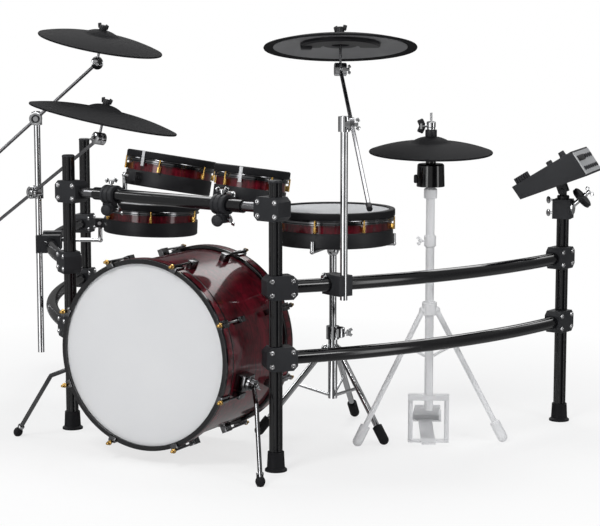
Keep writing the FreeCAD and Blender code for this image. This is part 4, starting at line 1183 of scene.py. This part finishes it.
@dataclass
class CymbalPad:
    """A rubber cymbal pad with its bell, bow and rolled edge."""

    radius: float
    bell_rise: float = 0.029
    bell_radius: float = 0.058
    hole: float = 0.008
    thickness: float = 0.0095
    drop: float = 0.014

    def side(self, lower: float) -> list[Pair]:
        """Bell and bow points from the hole to the edge.

        Args:
            lower: how far the line lies below the top.

        Returns:
            The points.
        """
        edge = self.bell_rise * 0.42
        foot = (self.bell_radius, edge - lower)
        shoulder = (self.bell_radius * 0.62, self.bell_rise * 0.83 - lower)
        bell = arc((self.hole, self.bell_rise - lower), shoulder, foot, 8)
        halfway = (self.radius * 0.6, edge - self.drop * 0.45 - lower)
        bow = arc(foot, halfway, (self.radius, -self.drop - lower * 0.55), 18)
        return bell + bow[1:]

    def mesh(self) -> Mesh:
        """The pad's mesh in its own frame."""
        lip = (self.radius + 0.0013, -self.drop - self.thickness * 0.27)
        return lathe(self.side(0.0) + [lip] + self.side(self.thickness)[::-1], 120, True)


@dataclass
class BoomCymbal(Assembly):
    """A cymbal on its boom."""

    name: str
    diameter: float
    lean: Pair
    stem: float = 0.08
    tilter: float = 0.0195
    tilter_half: float = 0.018
    teeth: int = 20
    cap_radius: float = 0.0076
    cap_length: float = 0.022
    rod_out: float = 0.006
    rod_end: float = 0.013
    tilter_screw: float = 0.0056
    boom_screw: float = 0.0072
    round_clamp: bool = True
    clamp_radius: float = 0.021
    crescent: Pair = (0.056, 0.118)
    crescent_half: float = 92.0
    crescent_way: Triple = (0.643, -0.766, 0.0)
    crescent_drop: float = 0.016

    def build(self) -> None:
        """Dress the boom and make the pad with its nut, housing, felt and fittings."""
        self.dress(Surface.TUBE_STEEL, f"{self.name}_boom")
        pad = CymbalPad(self.diameter / 2)
        axis = Vector((*self.lean, math.sqrt(1 - self.lean[0] ** 2 - self.lean[1] ** 2)))
        place = facing(self.pivot(f"{self.name}_rock") - axis * (pad.bell_rise - pad.thickness / 2), axis)
        node = (f"{self.name}_cymbal",)
        add_piece(f"{self.name}_pad", pad.mesh(), Surface.CYMBAL_RUBBER, self.name, place, node)
        nut = wing_nut(pad.bell_rise)
        add_piece(f"{self.name}_wing_nut", nut, Surface.BASE_BLACK, self.name, place, node)
        self.housing(place, pad)
        felt = ((0.0087, 0.0), (0.0155, -0.0006), (0.0165, -0.0035), (0.0155, -0.0072), (0.0087, -0.008))
        cushion = lathe(shifted(felt, 0.0, pad.bell_rise - pad.thickness - 0.0022), 32, True)
        add_piece(f"{self.name}_felt", cushion, Surface.FELT, f"{self.name}_arm", place)
        self.fittings(place.translation - axis * self.stem, axis)

    def housing(self, place: Matrix, pad: CymbalPad) -> None:
        """The plate, the crescent trigger housing and the jack under the pad.

        Args:
            place: the pad's frame.
            pad: the pad above them.
        """
        span = (pad.bell_radius * 0.95, pad.radius * 0.9)
        under = [point for point in pad.side(pad.thickness) if span[0] < point[0] < span[1]]
        sheet = shifted(under, 0.0, -0.0004) + shifted(under[::-1], 0.0, -0.0022)
        front = place.to_3x3().inverted() @ Vector(self.crescent_way)
        turn = math.degrees(math.atan2(front.y, front.x))
        first, last = turn - self.crescent_half, turn + self.crescent_half
        inner, outer = self.crescent
        drop = self.crescent_drop
        shape = [(inner, 0.004), (inner, -drop + 0.002), (inner + 0.002, -drop), (outer - 0.006, -drop),
                 (outer, -drop + 0.005), (outer, 0.0)]
        end = Matrix.Rotation(math.radians(first + 6.0), 4, "Z")
        jack = end @ Matrix.Translation((outer - 0.018, 0.0, -drop + 0.006))
        ring = ((0.026, 0.008), (0.026, -0.008), (0.03, -0.0095), (0.05, -0.0095), (0.0545, -0.0055),
                (0.055, 0.004))
        pieces = (("under_plate", lathe(sheet, 96, True), Surface.UNDER_GREY),
                  ("trigger_housing", sector(shape, first, last, 40), Surface.BASE_BLACK),
                  ("jack_box", soft_box((0.034, 0.03, 0.026), 0.006, jack), Surface.BASE_BLACK),
                  ("trigger_ring", lathe(ring, 72, True), Surface.KNOB_GREY))
        for piece, mesh, surface in pieces:
            add_piece(f"{self.name}_{piece}", mesh, surface, self.name, place)

    def fittings(self, tip: Vector, axis: Vector) -> None:
        """The toothed tilter, the boom's end cap and its clamp.

        Args:
            tip: the boom's upper end.
            axis: the stem's direction.
        """
        points = self.points(f"{self.name}_boom")
        far = max(points, key=lambda point: (point - tip).length)
        foot = mean([point for point in points if (point - far).length < self.rod_end])
        way = (tip - foot).normalized()
        foot = tip - way * max((tip - point).dot(way) for point in points)
        arm = f"{self.name}_arm"
        place = facing(tip, way.cross(axis).normalized(), 30.0)
        add_piece(f"{self.name}_tilter", self.toothed(), Surface.CHROME, arm, place)
        r, length = self.cap_radius, self.cap_length
        profile = [(0, -0.003), (r * 0.8, -0.003), (r, -0.001), (r, length), (0.0056, length + 0.0012)]
        cap = lathe(profile, 28)
        add_piece(f"{self.name}_boom_cap", cap, Surface.RUBBER_BLACK, arm, facing(foot, way))
        pivot = self.pivot(f"{self.name}_boom_tilt")
        near = foot + way * (pivot - foot).dot(way)
        out = (near - pivot).normalized()
        front = facing(near + out * self.rod_out, out, 20.0)
        if self.round_clamp:
            self.clamp_face(front, arm)
        else:
            screw = wing_screw(self.boom_screw)
            add_piece(f"{self.name}_boom_wing", screw, Surface.CHROME, arm, front)

    def toothed(self) -> Mesh:
        """The tilter: a grooved drum, a ring of teeth in the groove and a wing screw."""
        r, h = self.tilter, self.tilter_half
        half = [(0, -h), (r * 0.86, -h), (r, -h * 0.9), (r, -0.003), (r * 0.88, -0.0016)]
        parts = [lathe(half + [(radius, -z) for radius, z in reversed(half)], 40)]
        for tooth in range(self.teeth):
            turn = Matrix.Rotation(2 * math.pi * tooth / self.teeth, 4, "Z")
            spot = turn @ Matrix.Translation((r * 0.93, 0, 0))
            parts.append(soft_box((r * 0.16, r * 0.12, 0.005), 0.0005, spot, 1))
        return merged([*parts, wing_screw(self.tilter_screw, Matrix.Translation((0, 0, h)))])

    def clamp_face(self, place: Matrix, arm: str) -> None:
        """The round clamp before the boom: a bright rim, a dark groove and a bright bolt.

        Args:
            place: the face's frame.
            arm: the body that it rides on.
        """
        r = self.clamp_radius
        rim = ((0.6, -0.004), (0.92, -0.004), (1.0, -0.002), (1.0, 0.005), (0.93, 0.0072), (0.72, 0.0072),
               (0.6, 0.005))
        bolt = ((0, -0.002), (0.44, -0.002), (0.44, 0.0055), (0.36, 0.0075), (0, 0.0075))
        groove = ((0.43, -0.002), (0.61, -0.002), (0.61, 0.001), (0.43, 0.001))
        bright = merged([lathe(scaled(rim, r, 1.0), 48, True), lathe(scaled(bolt, r, 1.0), 32)])
        add_piece(f"{self.name}_boom_clamp_face", bright, Surface.CHROME, arm, place)
        dark = lathe(scaled(groove, r, 1.0), 32, True)
        add_piece(f"{self.name}_boom_clamp_groove", dark, Surface.BASE_BLACK, arm, place)


@dataclass
class SnareStand(Assembly):
    """The snare's tripod, height tube and basket."""

    bore: float = 0.0175
    radius: float = 0.021
    height: float = 0.03
    below: float = 0.004
    screw_size: float = 0.0065
    screw_turn: float = 40.0
    screw_out: float = 0.008

    def build(self) -> None:
        """Dress the stand, and make its height collar and wing screw."""
        self.dress(Surface.CHROME, "snare_stand_tube", "snare_stand_slider", "snare_stand_legs")
        self.dress(Surface.RUBBER_BLACK, "snare_stand_feet")
        basket = self.clean("snare_basket")
        add_piece("snare_basket_plated", basket, Surface.CHROME, "snare", replaces=("snare_basket",))
        x, y, _ = box_middle("snare_stand_tube")
        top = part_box("snare_stand_tube")[1].z - self.below
        ring = collar(self.bore, self.radius, self.height, 0.002)
        place = Matrix.Translation((x, y, top - self.height))
        add_piece("snare_stand_collar", ring, Surface.CHROME, "rack", place)
        turn = math.radians(self.screw_turn)
        out = Vector((math.cos(turn), math.sin(turn), 0.0))
        spot = Vector((x, y, top - self.height / 2)) + out * (self.radius + self.screw_out)
        screw = wing_screw(self.screw_size)
        add_piece("snare_stand_wing", screw, Surface.CHROME, "rack", facing(spot, out, 70.0))


@dataclass
class HiHat(Assembly):
    """The hi-hat pad, its controller and its pale pedal stand."""

    diameter: float = 0.362
    lean: Pair = (0.045, -0.05)
    front_way: Triple = (-0.766, -0.643, 0.0)
    tube: float = 0.0127
    collars: tuple[Triple, ...] = ((0.733, 0.0195, 0.03), (0.59, 0.0175, 0.034), (0.385, 0.022, 0.04))
    screw_size: float = 0.0062
    screw_out: float = 0.007
    jack_share: float = 0.28
    jack_turn: float = 215.0
    rib: Triple = (0.006, 0.78, 0.0022)
    ribs: int = 11
    rib_span: float = 0.82

    def build(self) -> None:
        """Dress the stand and make the pad, clutch, controller, collars and pedal ribs."""
        self.dress(Surface.PALE_STAND, "hihat_stand", "hihat_pedal")
        self.dress(Surface.CHROME, "hihat_rod")
        pad = CymbalPad(self.diameter / 2)
        top = self.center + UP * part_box("hihat_cymbal")[1].z
        lean = Vector((*self.lean, 1.0)).normalized()
        place = facing(top - lean * pad.bell_rise, lean)
        add_piece("hihat_pad", pad.mesh(), Surface.CYMBAL_RUBBER, "hihat_top", place, ("hihat_cymbal",))
        self.clutch(top)
        self.controller()
        self.stand_collars()
        self.pedal_ribs()

    @cached_property
    def center(self) -> Vector:
        """The stand's axis on the floor."""
        x, y, _ = box_middle("hihat_cymbal")
        return Vector((x, y, 0.0))

    def clutch(self, top: Vector) -> None:
        """The black sleeve on the bell, the plated clutch over it and its grip.

        Args:
            top: the bell's top.
        """
        sleeve = lathe([(0.0103, -0.001), (0.0165, -0.001), (0.0172, 0.001), (0.0172, 0.0185),
                        (0.0158, 0.0205), (0.0103, 0.0205)], 40, True)
        add_piece("hihat_clutch_sleeve", sleeve, Surface.BASE_BLACK, "hihat_top", Matrix.Translation(top))
        body = lathe([(0.0103, 0.0), (0.0122, 0.0), (0.0122, 0.005), (0.0135, 0.0065), (0.0135, 0.0205),
                      (0.0115, 0.023), (0.0103, 0.023)], 32, True)
        place = Matrix.Translation(top + UP * 0.0215)
        add_piece("hihat_clutch_body", body, Surface.CHROME, "hihat_top", place)
        grip = top + UP * 0.031 + Vector(self.front_way) * 0.026
        spot = Matrix.Translation(grip) @ Matrix.Rotation(math.radians(220.0), 4, "Z")
        lobes = []
        for side in (-1, 1):
            lean = Matrix.Rotation(side * math.radians(24.0), 4, "Y")
            lobe = spot @ Matrix.Translation((0.003, 0.0, side * 0.0095)) @ lean
            lobes.append(soft_box((0.019, 0.009, 0.022), 0.004, lobe))
        add_piece("hihat_clutch_grip", merged(lobes), Surface.BASE_BLACK, "hihat_top")

    def controller(self) -> None:
        """The controller's eased housing and its jack box."""
        self.ease("hihat_controller", Surface.HOOP_BLACK, 0.002, 40.0, 3)
        low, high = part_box("hihat_controller")
        out = Matrix.Translation(((high.x - low.x) / 2 - 0.003, 0, 0))
        turn = Matrix.Rotation(math.radians(self.jack_turn), 4, "Z") @ out
        rise = low.z * (1.0 - self.jack_share) + high.z * self.jack_share
        jack = soft_box((0.022, 0.026, 0.024), 0.004)
        place = Matrix.Translation(self.center + UP * rise) @ turn
        add_piece("hihat_controller_jack", jack, Surface.BASE_BLACK, "rack", place)

    def stand_collars(self) -> None:
        """The collars round the stand's tube, the middle one with a wing screw."""
        parts = []
        for z, radius, height in self.collars:
            ring = collar(self.tube, radius, height, 0.003)
            ring.transform(Matrix.Translation(self.center + UP * z))
            parts.append(ring)
        z, radius, height = self.collars[1]
        out = Vector(self.front_way)
        spot = self.center + UP * (z + height / 2) + out * (radius + self.screw_out)
        parts.append(wing_screw(self.screw_size, facing(spot, out, 80.0)))
        add_piece("hihat_stand_collars", merged(parts), Surface.PALE_STAND, "rack")

    def pedal_ribs(self) -> None:
        """Grip ribs across the pedal's board."""
        board = self.clean("hihat_pedal")
        face = max((f for f in board.faces if f.normal.z > 0.5), key=lambda f: f.calc_area())
        longest = max((e.verts[1].co - e.verts[0].co for e in face.edges), key=lambda way: way.length)
        up = face.normal.copy()
        center = face.calc_center_median()
        along = longest.normalized()
        across = up.cross(along)
        points = [(vert.co - center).dot(across) for vert in face.verts]
        board.free()
        wide = max(points) - min(points)
        thick, share, rise = self.rib
        turned = Matrix((along, across, up)).transposed().to_4x4()
        made = []
        for number in range(self.ribs):
            shift = (number / (self.ribs - 1) - 0.5) * longest.length * self.rib_span
            spot = Matrix.Translation(center + along * shift + up * rise * 0.3)
            made.append(soft_box((thick, wide * share, rise), 0.0008, spot @ turned))
        add_piece("hihat_pedal_ribs", merged(made), Surface.PALE_STAND, "hihat_pedal")


@dataclass
class SoundModule(Assembly):
    """The sound module on its post-top bracket.

    Each jack row has its count, its share of the panel's height, its span and shift as shares of the
    panel's width, and its nuts' sides.
    """

    case_ease: float = 0.004
    bracket_ease: float = 0.003
    button_ease: float = 0.0014
    knob_shares: Pair = (0.46, 0.8)
    knob_across: float = 0.06
    knob: float = 0.0115
    knob_height: float = 0.019
    knob_steps: int = 48
    edge_keys: int = 6
    edge_span: Pair = (0.07, 0.3)
    edge_key: Triple = (0.016, -0.167, 0.019)
    screen: Triple = (0.06, 0.094, 0.0024)
    screen_at: Pair = (0.74, 0.035)
    screen_rim: float = 0.009
    jack_rows: tuple[tuple[int, float, float, float, int], ...] = (
        (7, 0.24, 0.92, 0.0, 6), (4, 0.72, 0.5, 0.2, 20))
    bracket_yaw: float = 20.0
    arm_length: float = 0.062
    arm_screw: float = 0.0068

    def build(self) -> None:
        """Make the eased case, controls, jacks and bracket fittings."""
        self.ease("module_case", Surface.CLAMP_BLACK, self.case_ease, 50.0, 3, "module")
        self.dress(Surface.JACK_SILVER, "module_jack_panel")
        self.ease("module_bracket", Surface.CLAMP_BLACK, self.bracket_ease, 50.0)
        self.ease("module_buttons", Surface.KNOB_GREY, self.button_ease, 50.0, 3, "module_buttons",
                  "module_button_caps")
        for side in ("left", "right"):
            self.knob_cap(side)
        self.display()
        self.key_row()
        self.jacks()
        self.bracket_fittings()

    @cached_property
    def face(self) -> Matrix:
        """The top's frame: X up the slope, Y across, Z out, with its origin at the left knob."""
        out = self.axis("left_knob_turn")
        across = self.axis("module_tilt")
        turned = Matrix((across.cross(out), across, out)).transposed().to_4x4()
        return Matrix.Translation(self.pivot("left_knob_turn")) @ turned

    def slope(self, share: float) -> float:
        """A place up the slope in the top's frame.

        Args:
            share: its share of the top's length.

        Returns:
            Its X.
        """
        right = self.face.inverted() @ self.pivot("right_knob_turn")
        first, last = self.knob_shares
        return (share - first) * (right.x / (last - first))

    def knob_cap(self, side: str) -> None:
        """A fluted knob with a pointer line.

        Args:
            side: left or right.
        """
        name = f"module_{side}_knob"
        r, h = self.knob, self.knob_height
        shares = ((0, 1.0), (0.76, 1.0), (0.84, 0.95), (0.9, 0.3), (1.0, 0.22), (1.0, 0.0), (0, 0.0))
        cap = lathe(scaled(shares, r, h), self.knob_steps)
        for vert in cap.verts:
            step = round(math.atan2(vert.co.y, vert.co.x) / (2 * math.pi) * self.knob_steps)
            if r * 0.8 < vert.co.xy.length < r * 0.95 and step % 3 == 0:
                vert.co.xy *= 0.94
        place = Matrix.Translation(self.pivot(f"{side}_knob_turn")) @ self.face.to_3x3().to_4x4()
        add_piece(f"{name}_cap", cap, Surface.KNOB_GREY, name, place, (name,))
        line = soft_box((r * 0.62, r * 0.12, 0.0006), 0.0002, Matrix.Translation((r * 0.4, 0, h)), 1)
        add_piece(f"{name}_line", line, Surface.JACK_SILVER, name, place)

    def display(self) -> None:
        """A bare screen in a raised frame."""
        share, across = self.screen_at
        long, wide, thick = self.screen
        spot = Vector((self.slope(share), across - self.knob_across, 0.0))
        place = self.face @ Matrix.Translation(spot)
        rim = soft_box((long + self.screen_rim, wide + self.screen_rim, thick), 0.001)
        add_piece("module_screen_frame", rim, Surface.KNOB_GREY, "module", place)
        glass = soft_box(self.screen, 0.0008, Matrix.Translation((0, 0, 0.0006)))
        add_piece("module_screen", glass, Surface.SCREEN, "module", place)

    def key_row(self) -> None:
        """A row of tall keys up the slope at the case's edge."""
        first, last = (self.slope(share) for share in self.edge_span)
        wide, across, tall = self.edge_key
        pitch = (last - first) / self.edge_keys
        made = []
        for number in range(self.edge_keys):
            spot = Matrix.Translation((first + (number + 0.5) * pitch, across, tall * 0.46))
            made.append(soft_box((pitch * 0.8, wide, tall), 0.0016, spot))
        add_piece("module_edge_keys", merged(made), Surface.KNOB_GREY, "module", self.face)

    def jacks(self) -> None:
        """Rows of sockets and a long connector on the bright panel."""
        panel = self.clean("module_jack_panel")
        body = box_middle("module_case")
        flats = sorted(panel.faces, key=lambda face: face.calc_area())[-2:]
        flat = max(flats, key=lambda face: (face.calc_center_median() - body).length)
        spot = flat.calc_center_median()
        out = flat.normal if flat.normal.dot(spot - body) > 0 else -flat.normal
        across = self.face.to_3x3().col[1]
        rise = out.cross(across)
        if rise.z < 0:
            rise.negate()
        sides = [[(vert.co - spot).dot(way) for vert in flat.verts] for way in (across, rise)]
        width, tall = (max(side) - min(side) for side in sides)
        through = across.cross(rise)
        sign = 1.0 if through.dot(out) > 0 else -1.0
        panel.free()
        nut = ((0.0042, 0.003), (0.0042, -0.001), (0.0074, -0.001), (0.0074, 0.0022), (0.006, 0.0034),
               (0.0052, 0.0042))
        bore = ((0, 0.0016), (0.0046, 0.0016), (0.0046, 0.0))
        nuts = []
        holes = []
        for count, share, span, shift, corner_count in self.jack_rows:
            for number in range(count):
                along = (((number + 0.5) / count - 0.5) * span + shift) * width
                here = Matrix.Translation((along, (share - 0.5) * tall, 0.0))
                here = here @ Matrix.Diagonal((1.0, 1.0, sign, 1.0))
                nuts.append(lathe(nut, corner_count, True, here))
                holes.append(lathe(bore, 18, place=here))
        slot = Matrix.Translation((-width * 0.26, tall * 0.2, sign * 0.001))
        holes.append(soft_box((width * 0.36, tall * 0.24, 0.005), 0.0012, slot))
        place = Matrix.Translation(spot) @ Matrix((across, rise, through)).transposed().to_4x4()
        add_piece("module_jack_nuts", merged(nuts), Surface.KNOB_GREY, "module", place)
        add_piece("module_jack_bores", merged(holes), Surface.BASE_BLACK, "module", place)

    def bracket_fittings(self) -> None:
        """Plates on stems, a bright ring, and the side arm with its disc and wing screw."""
        turn = math.radians(self.bracket_yaw)
        out = Vector((math.cos(turn), math.sin(turn), 0.0))
        x, y, _ = box_middle("module_bracket")
        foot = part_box("module_bracket")[0].z
        base = Vector((x, y, foot + 0.036))
        plate = ((0, -0.003), (0.008, -0.0025), (0.0115, 0.0), (0.008, 0.0025), (0, 0.003))
        plate_way = Vector((-0.342, -0.94, 0.0))
        bright = []
        for rise in (-0.02, 0.02):
            level = base + UP * rise
            bright.append(lathe(plate, 32, place=facing(level - out * 0.046, plate_way)))
            bright.append(bar(level - out * 0.028, out * -0.018, 0.0036, 16))
        start = base + out * 0.026
        reach = (out + UP * 0.9).normalized()
        ring = ((0, 0), (0.021, 0), (0.0235, 0.002), (0.0235, 0.007), (0.02, 0.009), (0, 0.009))
        bright.append(lathe(ring, 40, place=facing(start, out)))
        bright.append(bar(start, reach * self.arm_length, 0.0075, 24))
        tip = start + reach * (self.arm_length + 0.004)
        bright.append(wing_screw(self.arm_screw, facing(tip, reach, 15.0)))
        add_piece("module_bracket_bright", merged(bright), Surface.CHROME, "rack")
        disc = ((0, 0), (0.032, 0), (0.0355, 0.0025), (0.0355, 0.006), (0.033, 0.007), (0.033, 0.0085),
                (0.0355, 0.0095), (0.0355, 0.013), (0.032, 0.0155), (0, 0.0155))
        neck = ((0, 0.0125), (0.0165, 0.0125), (0.019, 0.0105), (0.019, 0.0), (0, 0.0))
        dark = [lathe(disc, 52, place=facing(start + reach * 0.036, reach)),
                lathe(neck, 40, place=Matrix.Translation((x, y, foot + 0.0595)))]
        add_piece("module_bracket_disc", merged(dark), Surface.BASE_BLACK, "rack")


@dataclass
class Studio:
    """Floor, soft light and the camera at the photograph's view."""

    camera_place: Triple = (3.8505, -4.2679, 1.255)
    azimuth: float = 40.0
    pitch: float = 7.6
    lens: float = 109.4
    sensor: float = 36.0
    far: float = 100.0
    floor_size: float = 60.0
    shadow_reach: Pair = (1.0, 2.0)
    floor_white: float = 0.72
    floor_colour: tuple[float, ...] = (0.94, 0.94, 0.94, 1.0)
    sky: float = 0.35
    sky_colour: tuple[float, ...] = (0.9, 0.92, 0.95, 1.0)
    boxes: tuple[Pair, ...] = (
        (-176.0, 0.15), (-145.0, 0.3), (-120.0, 0.5), (-96.0, 0.5), (-92.0, 4.5), (-81.0, 4.5),
        (-77.0, 0.5), (-44.0, 0.45), (-37.0, 0.03), (-8.0, 0.03), (-4.0, 0.3), (2.0, 0.3), (5.0, 3.6),
        (13.0, 3.6), (17.0, 0.25), (60.0, 0.15))
    box_light: float = 4.0
    high: Pair = (0.07, 0.18)
    high_share: float = 0.92
    high_light: float = 0.28
    overhead: Pair = (0.8, 0.9)
    overhead_light: float = 1.0
    behind: Pair = (0.42, 0.56)
    behind_light: float = 4.0
    underfoot: Pair = (0.3, 0.6)
    underfoot_light: float = 0.35
    lamps: tuple[tuple[str, Triple, Triple, float, float], ...] = (
        ("key", (0.9, -3.9, 4.3), (0.0, 0.0, 0.5), 1.5, 110.0),
        ("fill", (4.8, -0.6, 3.0), (0.2, 0.0, 0.6), 1.3, 40.0),
        ("left", (-4.2, -2.6, 3.2), (-0.2, 0.0, 0.6), 1.2, 44.0),
        ("top", (-0.6, 1.4, 4.6), (0.0, 0.0, 0.6), 1.6, 53.0))

    def build(self) -> None:
        """Set the stage."""
        bpy.context.scene.view_settings.view_transform = "Standard"
        self.floor()
        self.world()
        for lamp in self.lamps:
            self.lamp(*lamp)
        self.camera()

    def backdrop(self, shader: Shader, surface: Term) -> Term:
        """Args:
            shader: the material's tree.
            surface: what the light falls on.

        Returns:
            The mixed surface.
        """
        mirrored = shader.ray("Glossy") + shader.ray("Transmission")
        away = shader.term("ShaderNodeVectorMath", {"operation": "LENGTH"}, {0: shader.place}, "Value")
        bright = self.floor_white + (1.0 - self.floor_white) * away.band(*self.shadow_reach)
        white = shader.term("ShaderNodeEmission", {}, {"Color": WHITE, "Strength": 1.0})
        shown = shader.mix(bright * shader.ray("Camera"), surface, white)
        clear = shader.term("ShaderNodeBsdfTransparent", {}, {})
        return shader.mix(mirrored.band(0.0, 1.0), shown, clear)

    def floor(self) -> None:
        mesh = bmesh.new()
        bmesh.ops.create_grid(mesh, x_segments=1, y_segments=1, size=self.floor_size / 2)
        data = bpy.data.meshes.new("floor")
        mesh.to_mesh(data)
        mesh.free()
        shader = Shader(bpy.data.materials.new("floor_pale"))
        surface = shader.term("ShaderNodeBsdfDiffuse", {}, {"Color": self.floor_colour})
        shader.node("ShaderNodeOutputMaterial", {}, {"Surface": self.backdrop(shader, surface)})
        data.materials.append(shader.owner)
        floor = bpy.data.objects.new("floor", data)
        bpy.context.scene.collection.objects.link(floor)

    def world(self) -> None:
        """An even pale sky, white to the camera, with tall soft boxes in mirrors."""
        shader = Shader(bpy.data.worlds.new("studio"))
        heading = shader.term("ShaderNodeTexCoord", {}, {}, "Generated")
        way = shader.node("ShaderNodeSeparateXYZ", {}, {0: heading})
        x, y, z = (Term(shader, way.outputs[axis]) for axis in "XYZ")
        turn = shader.term("ShaderNodeMath", {"operation": "ARCTAN2"}, {0: y, 1: x})
        stops = [(0.5 + at / 360.0, (light / self.box_light,) * 3) for at, light in self.boxes]
        walls = shader.ramp(turn.band(-math.pi, math.pi), stops)
        high = (z * z).band(*self.high)
        walls = walls * (1.0 - high * self.high_share) + high * (self.high_light / self.box_light)
        overhead = z.band(*self.overhead)
        underfoot = (-1.0 * z).band(*self.underfoot)
        far = math.cos(math.radians(self.azimuth)) * y - math.sin(math.radians(self.azimuth)) * x
        behind = z.band(*self.behind) * far.band(*self.behind) * (1.0 - overhead)
        ends = overhead * self.overhead_light + underfoot * self.underfoot_light
        ends += behind * self.behind_light
        room = walls * (1.0 - overhead - underfoot) + ends * (1.0 / self.box_light)
        lights = ((self.sky_colour, self.sky), (room, self.box_light), (WHITE, 1.0))
        sky, mirrored, white = (
            shader.term("ShaderNodeBackground", {}, {"Color": colour, "Strength": strength})
            for colour, strength in lights)
        seen = shader.ray("Camera") + shader.ray("Transmission")
        lit = shader.mix(shader.ray("Glossy"), sky, mirrored)
        shown = shader.mix(seen.band(0.0, 1.0), lit, white)
        shader.node("ShaderNodeOutputWorld", {}, {"Surface": shown})
        bpy.context.scene.world = shader.owner

    def lamp(self, name: str, place: Triple, aim: Triple, size: float, power: float) -> None:
        """Add a square soft lamp.

        Args:
            name: its name.
            place: where it hangs.
            aim: what it points at.
            size: its side.
            power: its watts.
        """
        data = bpy.data.lights.new(name, "AREA")
        data.size = size
        data.energy = power
        lamp = bpy.data.objects.new(name, data)
        lamp.location = place
        lamp.rotation_euler = (Vector(aim) - Vector(place)).to_track_quat("-Z", "Y").to_euler()
        bpy.context.scene.collection.objects.link(lamp)

    def camera(self) -> None:
        """The photograph's view."""
        data = bpy.data.cameras.new("view")
        data.lens = self.lens
        data.sensor_width = self.sensor
        data.clip_end = self.far
        camera = bpy.data.objects.new("view", data)
        camera.location = self.camera_place
        camera.rotation_euler = (math.radians(90.0 - self.pitch), 0.0, math.radians(self.azimuth))
        bpy.context.scene.collection.objects.link(camera)
        bpy.context.scene.camera = camera


CYMBALS = {
    "crash_1": (0.405, (0.213, 0.042)),
    "crash_2": (0.47, (0.1685, 0.1414)),
    "ride": (0.45, (-0.12, 0.143)),
}
STRIP_TURNS = {"snare": None, "tom_8": 24.0, "tom_10": 5.0, "tom_12": None}


def main() -> None:
    """Load the frame, dress every sub-assembly and set the stage."""
    logging.basicConfig(level=logging.INFO, format="%(name)s: %(message)s")
    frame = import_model()
    kit = (frame["nodes"], {joint["name"]: joint for joint in frame["joints"]})
    Studio().build()
    Rack(*kit).build()
    KickDrum(*kit).build()
    for name, strip_turn in STRIP_TURNS.items():
        PadDrum(*kit, name, strip_turn).build()
    for name, (diameter, lean) in CYMBALS.items():
        BoomCymbal(*kit, name, diameter, lean, round_clamp=name != "ride").build()
    SnareStand(*kit).build()
    HiHat(*kit).build()
    SoundModule(*kit).build()


if __name__ == "__main__":
    main()
